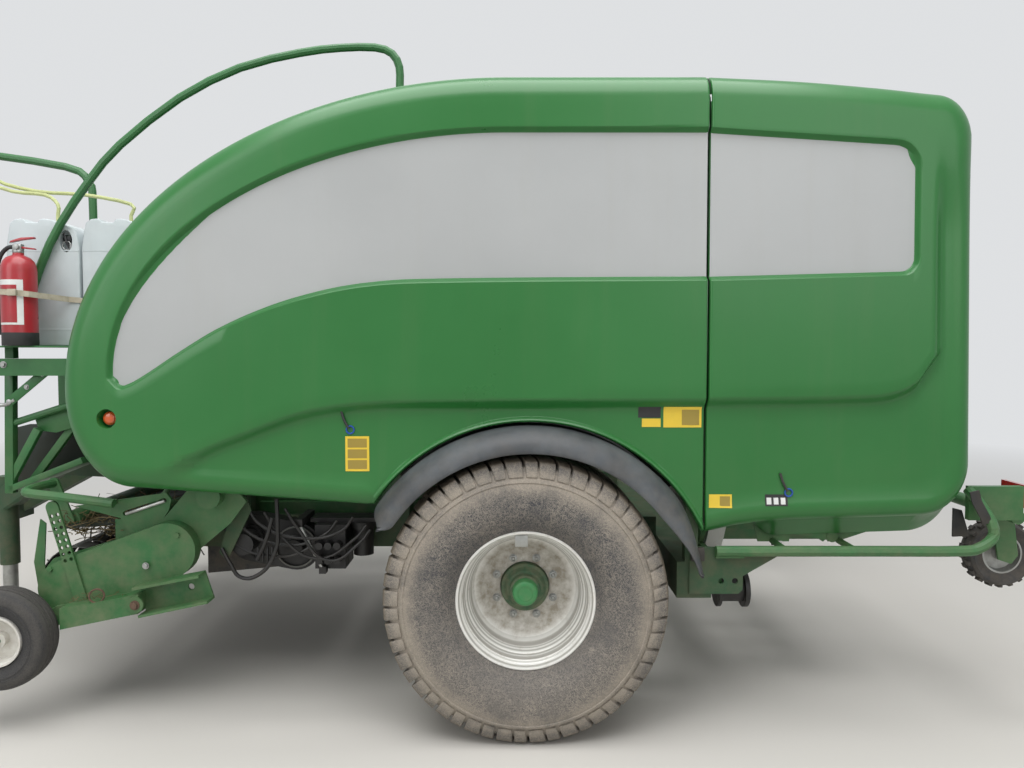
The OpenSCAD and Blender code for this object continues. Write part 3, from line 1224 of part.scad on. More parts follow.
module gauge_arms() {
    strap = strap_foot - strap_top;
    along = strap / norm(strap);
    color(green) both() {
        // Square tube that slides in the open channel behind it
        plate_xz(-arm_out, -arm_in) polygon([[-1339, 524], [-1339, 470], [-1311, 432],
            [-935, 512], [-933, 597]]);
        plate_xz(-tube_out, -arm_in) polygon([[-1284, 535], [-1284, 440], [-935, 512], [-933, 597]]);
        bar_y(-945, 553, 36, -tube_out - 8, -tube_out + 1, 32);
        difference() {
            plate_xz(-arm_in - channel_t, -arm_in) polygon([[-959, 628], [-932, 494], [-624, 559],
                [-664, 685]]);
            bar_y(-726, 613, 14, -arm_out, -arm_in + 1, 24);
        }
        plate_xz(-tube_out - 6, -arm_in) polygon([[-959, 628], [-664, 685], [-661, 674], [-957, 617]]);
        plate_xz(-tube_out - 6, -arm_in) polygon([[-932, 494], [-934, 505], [-627, 570], [-624, 559]]);
        // Carrier of the gauge wheel with its stub axle
        plate_xz(-arm_out, -arm_in) link_2d([gauge_x, gauge_z], [-1330, 480], 40);
        bar_y(gauge_x, gauge_z, 14, -gauge_y - 60, -arm_in, 32);
        // Strap with two rows of holes for the working height
        difference() {
            plate_xz(-arm_out + 8, -arm_in) link_2d(strap_top, strap_foot, 28);
            for (i = [0 : strap_rows - 1], side = [-1, 1])
                let (p = strap_top + (38 + 30 * i) * along + 14 * side * [along.y, -along.x])
                    bar_y(p.x, p.y, 8.5, -arm_out, -arm_in + 8, 24);
        }
    }
}
module gauge_tyre() {
    color("#2b2a29") translate([gauge_x, -gauge_y, gauge_z]) rotate([90, 0, 0])
        rotate_extrude($fn = 48) polygon([[112, -60], [125, -70], [165, -gauge_w / 2],
            [gauge_d / 2 - 16, -62], [gauge_d / 2, -38], [gauge_d / 2, 38],
            [gauge_d / 2 - 16, 62], [165, gauge_w / 2], [125, 70], [112, 60]]);
}
module gauge_rim() {
    color("#b9b6ae") translate([gauge_x, -gauge_y, gauge_z]) rotate([90, 0, 0]) difference() {
        rotate_extrude($fn = 48) polygon([[10, -40], [34, -40], [34, -4], [90, -8], [96, -58],
            [112 - seat_gap, -60], [112 - seat_gap, 60], [104, 60], [96, 52], [90, 4], [34, 10],
            [34, 40], [10, 40]]);
        translate([0, 0, -80]) cylinder(r = 14 + run_gap, h = 160, $fn = 32);
    }
}

chassis_frame();
drawbar();
axle();
gearbox();
jack_leg();
tyre();  // tyre_left
mirror([0, 1, 0]) tyre();  // tyre_right
rim();  // rim_left
mirror([0, 1, 0]) rim();  // rim_right
hub();  // hub_left
mirror([0, 1, 0]) hub();  // hub_right
front_door();  // front_door_left
mirror([0, 1, 0]) front_door();  // front_door_right
rear_door();  // rear_door_left
mirror([0, 1, 0]) rear_door();  // rear_door_right
inset_panel(1, front_columns);  // front_inset_left
mirror([0, 1, 0]) inset_panel(1, front_columns);  // front_inset_right
inset_panel(0, rear_columns);  // rear_inset_left
mirror([0, 1, 0]) inset_panel(0, rear_columns);  // rear_inset_right
marker_lamp();  // marker_lamps_left
mirror([0, 1, 0]) marker_lamp();  // marker_lamps_right
mudguards();
roof_frame();
guard_hoops();
chamber_walls();
chamber_rollers();
gate_walls();
gate_rollers();
roller_drive();
net_box();
intake();
floor_drives();
rams();
ring_frame();
guide_rollers();
wrap_ring();
film_dispensers();
film_rolls();
table_support();
table_frame();
table_rollers();
rear_guard();
rear_drum();
turner_tyre();
turner_rim();
rear_lamps();
platform();
canisters();
extinguisher();
hose_support();
feed_hoses();
pickup_frame();
pickup_reel();
stripper_bands();
gauge_arms();
gauge_tyre();  // gauge_tyre_left
mirror([0, 1, 0]) gauge_tyre();  // gauge_tyre_right
gauge_rim();  // gauge_rim_left
mirror([0, 1, 0]) gauge_rim();  // gauge_rim_right
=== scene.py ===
# %% [markdown]
# # A round baler with its bale wrapper
# The machine rolls grass into a round bale, hands it to a table behind the chamber and wraps it
# in film with two dispensers on a ring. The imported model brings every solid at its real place.
# Blender adds what the eye looks for: paint that has worked outdoors, smooth moulded doors, tread,
# bolts, hoses and labels. Everything stays in metres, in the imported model's own frame.

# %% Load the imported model
import bpy
import json
import math
import random
import numpy as np
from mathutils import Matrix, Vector

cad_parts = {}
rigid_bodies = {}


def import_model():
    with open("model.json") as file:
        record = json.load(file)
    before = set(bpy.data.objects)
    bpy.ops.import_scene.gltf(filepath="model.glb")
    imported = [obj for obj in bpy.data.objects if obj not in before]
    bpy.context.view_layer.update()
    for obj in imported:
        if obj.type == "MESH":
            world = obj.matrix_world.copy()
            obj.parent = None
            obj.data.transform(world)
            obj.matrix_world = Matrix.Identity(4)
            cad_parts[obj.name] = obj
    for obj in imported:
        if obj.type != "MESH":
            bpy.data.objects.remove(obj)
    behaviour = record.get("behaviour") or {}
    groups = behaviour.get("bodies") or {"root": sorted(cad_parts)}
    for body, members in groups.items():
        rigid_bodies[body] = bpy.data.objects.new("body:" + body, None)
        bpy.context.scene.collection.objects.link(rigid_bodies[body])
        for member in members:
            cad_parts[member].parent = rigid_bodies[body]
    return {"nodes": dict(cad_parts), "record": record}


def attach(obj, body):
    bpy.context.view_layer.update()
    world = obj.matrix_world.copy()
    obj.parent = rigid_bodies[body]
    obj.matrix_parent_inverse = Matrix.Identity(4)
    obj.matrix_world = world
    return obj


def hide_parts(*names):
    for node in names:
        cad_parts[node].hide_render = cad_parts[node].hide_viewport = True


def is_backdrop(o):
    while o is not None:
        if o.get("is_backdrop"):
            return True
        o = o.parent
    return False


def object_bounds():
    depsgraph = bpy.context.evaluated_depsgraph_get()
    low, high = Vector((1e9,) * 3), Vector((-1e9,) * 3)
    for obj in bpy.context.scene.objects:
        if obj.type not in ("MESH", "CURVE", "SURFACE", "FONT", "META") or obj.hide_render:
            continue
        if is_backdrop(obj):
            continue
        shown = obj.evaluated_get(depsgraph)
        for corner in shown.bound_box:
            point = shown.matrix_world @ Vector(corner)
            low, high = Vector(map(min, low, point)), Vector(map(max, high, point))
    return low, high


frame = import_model()
cad_low, cad_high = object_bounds()
MM = 0.001
LEFT = -1
RIGHT = 1
print("packed box", [round(v, 3) for v in cad_low], [round(v, 3) for v in cad_high])

# %% [markdown]
# Colours are picked as sRGB hex values, as a paint card gives them. A shader wants linear values,
# so one function turns them. A second small function adds a shader node with its settings and its
# links and hands back one of its outputs, which keeps each material down to a few readable lines.

# %% Colours and shader nodes
def colour(hex_code):
    parts = [int(hex_code[i:i + 2], 16) / 255 for i in (1, 3, 5)]
    linear = [p / 12.92 if p <= 0.04045 else ((p + 0.055) / 1.055) ** 2.4 for p in parts]
    return (*linear, 1.0)


def add(tree, kind, sockets=(), out=0, **fields):
    """Adds a node and gives its output. A socket that gets another output is linked, else set."""
    node = tree.nodes.new(kind)
    for field, value in fields.items():
        setattr(node, field, value)
    for socket, value in dict(sockets).items():
        if isinstance(value, bpy.types.NodeSocket):
            tree.links.new(value, node.inputs[socket])
        else:
            node.inputs[socket].default_value = value
    return node.outputs[out] if node.outputs else None


# The kinds of node that come up most. A range has its value and limits on sockets 0 to 4, and a
# mix of colours has its share on 0 and the two colours on 6 and 7
NOISE, RANGE, MATH, MIX = ("ShaderNodeTexNoise", "ShaderNodeMapRange", "ShaderNodeMath",
                           "ShaderNodeMix")
PRODUCT = {"operation": "MULTIPLY", "use_clamp": True}
COLOURS = {"out": 2, "data_type": "RGBA"}


def new_surface(name):
    """A material with an empty tree, and the object coordinates in it."""
    material = bpy.data.materials.new(name)
    material.use_nodes = True
    tree = material.node_tree
    tree.nodes.clear()
    return material, tree, add(tree, "ShaderNodeTexCoord", out="Object")


# %% [markdown]
# Most surfaces of a farm machine share one story. A base colour fades in soft patches, dust
# settles thickest near the ground and thins upwards, rain draws faint vertical streaks, and the
# gloss changes with all of it. One function tells that story, and each finish fills in its own
# colours, gloss and amount of dirt. The patterns read object coordinates, in metres, because
# every piece keeps its place in its mesh.

# %% A weathered surface
DUST = "#8d7f6a"
GROUND_DIRT_TOP = 1.5
RAIN_STRETCH = (14.0, 14.0, 0.9)


def weathered(name, base, faded, fade=0.4, dirt=0.3, dirt_top=GROUND_DIRT_TOP, dirt_floor=0.05,
              rough=(0.3, 0.5), metallic=0.0, coat=0.0, patch=3.0, grain=420.0, bump=0.04,
              streak=0.0, dirt_colour=DUST, grit=9.0):
    material, tree, place = new_surface(name)
    patches = add(tree, NOISE, {"Vector": place, "Scale": patch, "Detail": 6.0, "Roughness": 0.6})
    faded_share = add(tree, RANGE, {0: patches, 1: 0.38, 2: 0.72, 4: fade})
    skin = add(tree, MIX, {0: faded_share, 6: colour(base), 7: colour(faded)}, **COLOURS)
    height = add(tree, "ShaderNodeSeparateXYZ", {"Vector": place}, "Z")
    low_down = add(tree, RANGE, {0: height, 1: dirt_top, 2: 0.0, 3: dirt_floor})
    gritty = add(tree, NOISE, {"Vector": place, "Scale": grit, "Detail": 9.0, "Roughness": 0.68})
    grit_share = add(tree, RANGE, {0: gritty, 1: 0.35, 2: 0.66})
    dusted = add(tree, MATH, {0: low_down, 1: grit_share}, operation="MULTIPLY")
    film = add(tree, MATH, {0: dusted, 1: dirt}, **PRODUCT)
    if streak:
        stretched = add(tree, "ShaderNodeMapping", {"Vector": place, "Scale": RAIN_STRETCH})
        rain = add(tree, NOISE, {"Vector": stretched, "Scale": 1.0, "Detail": 5.0})
        runs = add(tree, RANGE, {0: rain, 1: 0.52, 2: 0.75, 4: streak})
        film = add(tree, MATH, {0: film, 1: runs}, operation="ADD", use_clamp=True)
    skin = add(tree, MIX, {0: film, 6: skin, 7: colour(dirt_colour)}, **COLOURS)
    clean_rough = add(tree, RANGE, {0: patches, 1: 0.3, 2: 0.7, 3: rough[0], 4: rough[1]})
    dull = add(tree, MATH, {0: film, 1: 0.5, 2: clean_rough}, operation="MULTIPLY_ADD",
               use_clamp=True)
    fine = add(tree, NOISE, {"Vector": place, "Scale": grain, "Detail": 3.0})
    relief = add(tree, "ShaderNodeBump", {"Height": fine, "Strength": bump, "Distance": 0.002})
    surface = add(tree, "ShaderNodeBsdfPrincipled", {
        "Base Color": skin, "Roughness": dull, "Metallic": metallic, "Coat Weight": coat,
        "Coat Roughness": 0.12, "Normal": relief})
    add(tree, "ShaderNodeOutputMaterial", {"Surface": surface})
    return material


# %% [markdown]
# The finishes, each named for what it is on the machine. The doors are moulded plastic with a
# glossy green top coat, so they reflect the sky softly. Frames are enamelled steel that has
# dulled and collects soil. Tyres carry dried mud over black rubber, which hides most of the black.

# %% Finishes
door_gloss = weathered("gloss green coat on moulded plastic", "#22682c", "#2a7034", fade=0.5,
                       dirt=0.14, dirt_top=1.35, dirt_floor=0.02, rough=(0.26, 0.38), coat=0.05,
                       patch=1.3, grain=260.0, bump=0.02, streak=0.03, grit=5.0)
inset_silver = weathered("satin silver lacquer", "#a4a6a6", "#afb1b1", fade=0.6, dirt=0.10,
                         rough=(0.36, 0.48), metallic=0.15, patch=1.1, bump=0.02, streak=0.10,
                         dirt_colour="#9d998f")
green_enamel = weathered("green enamel on steel", "#265f30", "#377341", fade=0.6, dirt=0.55,
                         rough=(0.32, 0.6), patch=7.0, grain=350.0, bump=0.05)
frame_enamel = weathered("dark green chassis enamel", "#1f4326", "#305236", fade=0.7, dirt=0.85,
                         rough=(0.45, 0.75), patch=6.0, bump=0.10, dirt_colour="#6f6353")
hub_enamel = weathered("green hub enamel", "#214c2f", "#3c6546", fade=0.8, dirt=0.8,
                       rough=(0.4, 0.65), patch=18.0, bump=0.08, grit=22.0)
roller_steel = weathered("worn roller steel", "#5c5f5d", "#7d7d78", fade=0.8, dirt=0.5,
                         rough=(0.35, 0.6), metallic=0.7, patch=12.0, dirt_colour="#5b4c3c")
black_enamel = weathered("satin black enamel", "#1f2123", "#3a3b3b", fade=0.7, dirt=0.5,
                         rough=(0.4, 0.65), patch=9.0)
guard_rubber = weathered("weathered rubber of the mudguards", "#33373b", "#5b6064", fade=0.75,
                         dirt=0.35, dirt_top=1.6, rough=(0.42, 0.6), patch=5.0, grain=500.0,
                         bump=0.12, grit=14.0)
tyre_rubber = weathered("muddy tyre rubber", "#4a443c", "#8b8072", fade=0.95, dirt=1.35,
                        dirt_top=3.2, dirt_floor=0.5, rough=(0.75, 0.95), patch=10.0, grain=120.0,
                        bump=0.35, dirt_colour="#8f8474", grit=16.0)
small_tyre_rubber = weathered("dusty black rubber", "#26272a", "#47484a", fade=0.8, dirt=0.35,
                              dirt_top=2.0, rough=(0.6, 0.85), patch=14.0, bump=0.2, grit=20.0)
rim_lacquer = weathered("silver-grey wheel lacquer", "#dddcd6", "#cbc8c0", fade=0.8, dirt=0.32,
                        dirt_top=1.8, rough=(0.38, 0.6), metallic=0.1, patch=9.0,
                        dirt_colour="#8b7a63", grit=18.0)
zinc = weathered("zinc plated steel", "#a9aba9", "#8b8c88", fade=0.8, dirt=0.3,
                 rough=(0.3, 0.5), metallic=0.9, patch=20.0)
ring_lacquer = weathered("pale grey ring lacquer", "#cfd1ce", "#b5b7b2", fade=0.7, dirt=0.35,
                         rough=(0.35, 0.55), patch=6.0)
red_enamel = weathered("red enamel", "#a3202b", "#8a2a2c", fade=0.6, dirt=0.25, rough=(0.25, 0.4),
                       coat=0.2, patch=10.0)
dispenser_enamel = weathered("oxide red enamel", "#8e3a2c", "#7a4437", fade=0.6, dirt=0.3,
                             rough=(0.35, 0.55), patch=8.0)
stretch_film = weathered("rolled stretch film", "#dfe3df", "#cdd2cc", fade=0.5, dirt=0.08,
                         rough=(0.16, 0.28), coat=0.3, patch=14.0, bump=0.03)
canister_plastic = weathered("pale polyethylene", "#a9b1ad", "#c3c8c3", fade=0.7, dirt=0.25,
                             dirt_top=3.4, rough=(0.35, 0.5), patch=4.0, bump=0.03)
hose_plastic = weathered("yellow-green hose", "#bcc389", "#a2a874", fade=0.6, dirt=0.2,
                         rough=(0.3, 0.45), patch=12.0)
black_rubber = weathered("black rubber", "#191a1b", "#333435", fade=0.6, dirt=0.3,
                         rough=(0.5, 0.75), patch=16.0)
amber_lens = weathered("amber lens", "#cf5a24", "#b84c20", fade=0.5, dirt=0.1, rough=(0.12, 0.2),
                       coat=0.6, patch=30.0)
red_lens = weathered("red lens", "#a81d18", "#8d1a16", fade=0.5, dirt=0.1, rough=(0.12, 0.2),
                     coat=0.6, patch=30.0)
label_yellow = weathered("yellow label film", "#e3c23a", "#d4b840", fade=0.5, dirt=0.15,
                         rough=(0.4, 0.5), patch=20.0)
label_black = weathered("black label film", "#1d1e1f", "#2c2d2e", fade=0.5, dirt=0.1,
                        rough=(0.4, 0.5), patch=20.0)
label_white = weathered("white label film", "#d9dad8", "#c4c5c2", fade=0.5, dirt=0.12,
                        rough=(0.4, 0.5), patch=20.0)
blue_cord_dye = weathered("blue braided cord", "#1f4c9c", "#2b5bb0", fade=0.5, dirt=0.15,
                          rough=(0.7, 0.9), patch=60.0)
rusty_steel = weathered("rusty steel", "#4b372c", "#6d5443", fade=0.9, dirt=0.3,
                        rough=(0.7, 0.9), patch=40.0, bump=0.3)
print(len(bpy.data.materials), "materials so far")

# %% [markdown]
# Every imported solid takes the finish of its material slot. A few solids share a slot with others
# and still look different outdoors, such as the oily drives, so those are named one by one. The
# drives' black is also darkened as painted shade under the machine.

# %% Finishes for the imported solids
# Partly painted shade: the drives' black is darker than oil and dirt make it, for the shade below
oily_black_and_shade = weathered("oily black of the drives", "#101112", "#1c1c1c", fade=0.8, dirt=0.35,
                       rough=(0.3, 0.6), patch=14.0, dirt_colour="#3a3229")
SLOT_FINISH = {
    "green_paint": green_enamel, "frame_paint": frame_enamel, "door_paint": door_gloss,
    "silver_paint": inset_silver, "roller_steel": roller_steel, "black_paint": black_enamel,
    "guard_rubber": guard_rubber, "tyre": tyre_rubber, "rim_paint": rim_lacquer,
    "hub_paint": hub_enamel, "amber_lens": amber_lens, "red_lens": red_lens,
    "red_paint": red_enamel, "zinc_steel": zinc, "ring_paint": ring_lacquer,
    "film": stretch_film, "canister": canister_plastic, "hose": hose_plastic,
}
OWN_FINISH = {
    "floor_drives": oily_black_and_shade, "rear_drum": oily_black_and_shade,
    "film_dispensers": dispenser_enamel, "turner_tyre": small_tyre_rubber,
    "gauge_tyre_left": small_tyre_rubber, "gauge_tyre_right": small_tyre_rubber,
}
for part in frame["record"]["subparts"]:
    solid = frame["nodes"][part["node"]]
    finish = OWN_FINISH.get(part["node"], SLOT_FINISH[part["material_slot"]])
    solid.data.materials.clear()
    solid.data.materials.append(finish)
print(len(frame["nodes"]), "solids have their finish")

# %% [markdown]
# The side doors are what the eye meets first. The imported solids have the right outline, bulge and
# recess, in flat facets. Here each door becomes a fine skin. It starts as a plain grid whose
# vertices are laid on the door's surface, column by column. The same driving sizes as in the
# construction shape it, in millimetres: a half ellipse over the nose, a chin, a sill, the wheel
# arch, the crease below the bulge and the recess for the pale panel.

# %% Sizes of the side doors, in millimetres
PANEL_Y = 1330
NOSE_X, NOSE_Z, NOSE_MID_X = -1205, 1508, 700
TOP_Z = 2838
CHIN_X, CHIN_Z = -910, 1083
SILL_X, SILL_Z = 128, 1006
SEAM_X, SEAM_GAP, SEAM_FOOT_Z = 1547, 8, 902
ARCH_X, ARCH_Z, ARCH_R = 799, 559, 812
REAR_X, REAR_CORNER_TOP, REAR_CORNER_FOOT = 2699, 150, 210
REAR_TOP_FALL, REAR_FOOT_RISE = 1.25, 1.1
REAR_LEAN, LEAN_X, LEAN_RUN, LEAN_Z, LEAN_HEIGHT = 24, 2250, 350, 1200, 1240
EDGE_R, ARCH_BAND, ARCH_TURN, SEAM_R = 110, 24, 60, 10
STEP, CREASE_HALF, CREASE_START_X, CREASE_START_RUN = 42, 28, -830, 190
BACK_STEP_X, BACK_STEP_RUN, BACK_STEP_Z, BACK_STEP_FADE = 2500, 60, 2150, 400
PIT, LIP, PIT_TOP_Z, PIT_MID_Z, PIT_FRONT_X, PIT_REAR_X = 28, 24, 2608, 1570, -988, 2442
PIT_LOW_REAR_Z, PIT_LOW_RISE, PIT_LOW_RUN, PIT_LOW_CORNER = 1968, 22, 820, 80
PIT_TOP_DROP, PIT_TOP_FALL, PIT_TOP_RUN, PIT_TOP_CORNER = 2, 44, 700, 110
SKIN_T = 12
CREASE_FRONT = [(-1000, 1090), (-745, 1152), (-595, 1237), (-383, 1322), (-171, 1398), (60, 1436),
                (300, 1446), (1547, 1453)]
CREASE_REAR = [(1500, 1455), (2250, 1468), (2360, 1490), (2437, 1533), (2490, 1610), (2720, 1900)]
PIT_LOW_FRONT = [(-990, 1560), (-940, 1512), (-880, 1524), (-680, 1652), (-510, 1754),
                 (-335, 1832), (-165, 1888), (45, 1935), (300, 1958), (1547, 1970)]
TOP_REAR = [(1500, 2839), (1939, 2818), (2279, 2790), (2500, 2768), (2720, 2750)]
FOOT_REAR = [(1500, 880), (1580, 892), (1700, 918), (1890, 938), (2190, 948), (2720, 966)]


def smooth_step(t):
    t = min(1.0, max(0.0, t))
    return t * t * (3 - 2 * t)


def curve_at(points, x):
    """Height of a smooth curve through the points."""
    last = len(points) - 2
    s = max([i for i in range(last + 1) if x >= points[i][0]] or [0])
    (x0, z0), (x1, z1) = points[s], points[s + 1]
    width = x1 - x0
    t = min(1.0, max(0.0, (x - x0) / width))
    before, after = points[max(s - 1, 0)], points[min(s + 2, last + 1)]
    m0 = (z1 - before[1]) / (x1 - before[0])
    m1 = (after[1] - z0) / (after[0] - x0)
    return ((2 * t**3 - 3 * t**2 + 1) * z0 + (t**3 - 2 * t**2 + t) * width * m0
            + (3 * t**2 - 2 * t**3) * z1 + (t**3 - t**2) * width * m1)


def half_oval(x, middle, half_width, height):
    return height * math.sqrt(max(0.0, 1 - ((middle - x) / half_width) ** 2))


def corner(x, end, radius):
    into = x - end + radius
    return radius - math.sqrt(max(0.0, radius**2 - into**2)) if into > 0 else 0


def arch_height(x):
    return ARCH_Z + math.sqrt(ARCH_R**2 - (x - ARCH_X) ** 2) if abs(x - ARCH_X) < ARCH_R else 0


def top_front(x):
    return TOP_Z if x > NOSE_MID_X else NOSE_Z + half_oval(x, NOSE_MID_X, NOSE_MID_X - NOSE_X,
                                                           TOP_Z - NOSE_Z)


def foot_front(x):
    if x < CHIN_X:
        return NOSE_Z - half_oval(x, CHIN_X, CHIN_X - NOSE_X, NOSE_Z - CHIN_Z)
    sill = SILL_Z + (CHIN_Z - SILL_Z) * (SILL_X - x) / (SILL_X - CHIN_X)
    return max(SEAM_FOOT_Z if x > ARCH_X else sill, arch_height(x))


def top_rear(x):
    return curve_at(TOP_REAR, x) - REAR_TOP_FALL * corner(x, REAR_X, REAR_CORNER_TOP)


def foot_rear(x):
    return curve_at(FOOT_REAR, x) + REAR_FOOT_RISE * corner(x, REAR_X, REAR_CORNER_FOOT)


def pit_top_front(x):
    return PIT_TOP_Z if x > NOSE_MID_X else PIT_MID_Z + half_oval(
        x, NOSE_MID_X, NOSE_MID_X - PIT_FRONT_X, PIT_TOP_Z - PIT_MID_Z)


def pit_low_rear(x):
    return (PIT_LOW_REAR_Z + PIT_LOW_RISE * (x - SEAM_X) / PIT_LOW_RUN
            + corner(x, PIT_REAR_X, PIT_LOW_CORNER))


def pit_top_rear(x):
    return (PIT_TOP_Z - PIT_TOP_DROP - PIT_TOP_FALL * (x - SEAM_X) / PIT_TOP_RUN
            - corner(x, PIT_REAR_X, PIT_TOP_CORNER))


# One record for each door: its outline, its crease, its recess and its open end
DOORS = {
    "front": {"top": top_front, "foot": foot_front, "crease": lambda x: curve_at(CREASE_FRONT, x),
              "pit_low": lambda x: curve_at(PIT_LOW_FRONT, x), "pit_top": pit_top_front,
              "free_end": NOSE_X, "seam": SEAM_X - SEAM_GAP / 2, "pit_end": PIT_FRONT_X},
    "rear": {"top": top_rear, "foot": foot_rear, "crease": lambda x: curve_at(CREASE_REAR, x),
             "pit_low": pit_low_rear, "pit_top": pit_top_rear,
             "free_end": REAR_X, "seam": SEAM_X + SEAM_GAP / 2, "pit_end": PIT_REAR_X},
}


# %% [markdown]
# Three distances decide the surface at a point: how far it is from the rounded outer edge, from
# the wheel arch and from the rim of the recess. Each is measured to a fine chain of points along
# that line. Rows and columns lie closer together where the skin bends.

# %% The surface of a door
def distances(points, chain):
    """Distance of every point to a chain of straight pieces."""
    ends = np.array(chain, dtype=float)
    a, b = ends[:-1], ends[1:]
    ab = b - a
    length = np.maximum((ab**2).sum(1), 1e-9)
    best = np.full(len(points), 1e9)
    for start, run, squared in zip(a, ab, length):
        t = np.clip(((points - start) @ run) / squared, 0, 1)
        best = np.minimum(best, np.hypot(*(points - start - t[:, None] * run).T))
    return best


def turned_in(distance, radius, depth):
    """How far a rounded edge has turned inward, and how much of the relief is left there."""
    w = np.clip(1 - distance / radius, 0, 1)
    return depth * (1 - np.sqrt(1 - w * w)), 1 - w


def spaced(start, end, count, ease=False):
    """Evenly spaced values after start up to end, or ones that crowd at start."""
    shares = [i / count for i in range(1, count + 1)]
    if ease:
        shares = [1 - math.cos(math.pi / 2 * i / count) for i in range(1, count + 1)]
    return [start + (end - start) * share for share in shares]


def door_columns(door):
    end, seam, pit = door["free_end"], door["seam"], door["pit_end"]
    way = 1 if end < seam else -1
    first = spaced(end, end + way * EDGE_R * 1.6, 14, ease=True)
    near_pit = spaced(first[-1], pit - way * 2, 8 if way > 0 else 6)
    lip = spaced(near_pit[-1], pit + way * 70, 18)
    tail = spaced(lip[-1], seam - way * SEAM_R * 1.5, 70 if way > 0 else 34)
    columns = [end + way * 0.5] + first + near_pit + lip + tail + spaced(tail[-1], seam, 5)
    return sorted(set(columns))


def door_rows(door, x):
    foot, top, crease = door["foot"](x), door["top"](x), door["crease"](x)
    low, high = door["pit_low"](x), door["pit_top"](x)
    arch = door is DOORS["front"] and (x > ARCH_X or foot == arch_height(x))
    slope = (door["top"](x + 1) - door["top"](x - 1)) / 2
    foot_band = ARCH_BAND if arch else EDGE_R
    top_band = EDGE_R * math.sqrt(1 + slope * slope)
    raw = ([foot] + spaced(foot, foot + foot_band, 9, ease=True)
           + spaced(foot + foot_band, crease - CREASE_HALF, 7)
           + spaced(crease - CREASE_HALF, crease + CREASE_HALF, 8)
           + spaced(crease + CREASE_HALF, low, 9) + spaced(low, low + LIP, 6)
           + spaced(low + LIP, high - LIP, 10) + spaced(high - LIP, high, 6)
           + spaced(high, top - top_band, 3))
    raw += [top - top_band * (1 - math.cos(math.pi / 2 * i / 9)) for i in range(8, -1, -1)]
    count = len(raw) - 1
    least = 0.25 * (top - foot) / count
    for i in range(1, count + 1):
        raw[i] = max(raw[i], raw[i - 1] + least)
    for i in range(count - 1, 0, -1):
        raw[i] = min(raw[i], top - (count - i) * least)
    raw[0], raw[-1] = foot, top
    return raw


def lean(x, z):
    """The rear door leans a little forward towards its top."""
    height = min(1.0, max(0.0, (z - LEAN_Z) / LEAN_HEIGHT))
    return REAR_LEAN * smooth_step((x - LEAN_X) / LEAN_RUN) * height


def relief(kind, door, x, z):
    below = 1 - smooth_step((z - door["crease"](x) + CREASE_HALF) / (2 * CREASE_HALF))
    if kind == "front":
        return STEP * below * smooth_step((x - CREASE_START_X) / CREASE_START_RUN)
    behind = (smooth_step((x - BACK_STEP_X) / BACK_STEP_RUN)
              * (1 - smooth_step((z - BACK_STEP_Z) / BACK_STEP_FADE)))
    return STEP * max(below, behind)


def pit_chain(door):
    end, seam = door["pit_end"], door["seam"]
    outside = seam + (60 if seam < end or end < 0 else -60) * (1 if end < seam else -1)
    bend = end + (0.5 if end < seam else -0.5)
    ease = [bend] + spaced(bend, bend + (300 if end < seam else -300), 24, ease=True)
    rest = spaced(ease[-1], outside, 120)
    run = ease + rest
    low = [(x, door["pit_low"](x)) for x in run]
    high = [(x, door["pit_top"](x)) for x in run]
    return low[::-1] + high


def skin_depth(kind, points):
    """Depth of the skin behind PANEL_Y at every (x, z)."""
    door = DOORS[kind]
    end, seam = door["free_end"], door["seam"]
    way = 1 if end < seam else -1
    near = [end + way * 0.5] + spaced(end + way * 0.5, end + way * 420, 60, ease=True)
    xs = near + spaced(near[-1], seam + way * 200, 160)
    body = [(x, door["top"](x)) for x in xs][::-1]
    feet = [(x, door["foot"](x)) for x in xs]
    if kind == "front":
        arch_start = next(i for i, (x, z) in enumerate(feet) if x > 0 and z == arch_height(x))
        arch = feet[arch_start - 1:]
        body += feet[:arch_start]
    else:
        body += feet
    drop, keep = turned_in(distances(points, body), EDGE_R, EDGE_R)
    if kind == "front":
        arch_drop, arch_keep = turned_in(distances(points, arch), ARCH_BAND, ARCH_TURN)
        drop, keep = np.maximum(drop, arch_drop), np.minimum(keep, arch_keep)
    seam_drop = turned_in(abs(points[:, 0] - seam), SEAM_R, SEAM_R)[0]
    form = np.array([relief(kind, door, x, z) for x, z in points])
    inside = np.array([door["pit_low"](x) < z < door["pit_top"](x)
                       and (x > door["pit_end"] if way > 0 else x < door["pit_end"])
                       for x, z in points])
    into = np.clip(distances(points, pit_chain(door)) / LIP, 0, 1)
    pit = np.where(inside, PIT * into * into * (3 - 2 * into), 0)
    return (form + pit) * keep + drop + seam_drop


def on_door(kind, side, flat, depth):
    """Flat (x, z) points, put on a door at their depths behind PANEL_Y. The rear door leans."""
    shift = np.array([lean(x, z) if kind == "rear" else 0.0 for x, z in flat])
    return np.column_stack([flat[:, 0] - shift, side * (PANEL_Y - depth), flat[:, 1]])


def deselect():
    for item in bpy.context.selected_objects:
        item.select_set(False)


def pick(item):
    """Selects one piece alone and makes it the active one."""
    deselect()
    item.select_set(True)
    bpy.context.view_layer.objects.active = item


def grid_of(name, places, columns, rows):
    """A primitive grid whose vertices are moved to the places, one row after the other."""
    deselect()
    bpy.ops.mesh.primitive_grid_add(x_subdivisions=columns - 1, y_subdivisions=rows - 1, size=1)
    sheet = bpy.context.object
    sheet.name = name
    sheet.data.vertices.foreach_set("co", np.array(places).ravel())
    sheet.data.update()
    return sheet


def laid_grid(name, columns, rows_at, place):
    """A grid, laid on columns and rows in millimetres and moved to place(x, z)."""
    rows = [rows_at(x) for x in columns]
    flat = np.array([(columns[i], rows[i][j]) for j in range(len(rows[0]))
                     for i in range(len(columns))])
    return grid_of(name, place(flat) * MM, len(columns), len(rows[0]))


def apply_all(item):
    pick(item)
    for modifier in [m.name for m in item.modifiers]:
        bpy.ops.object.modifier_apply(modifier=modifier)


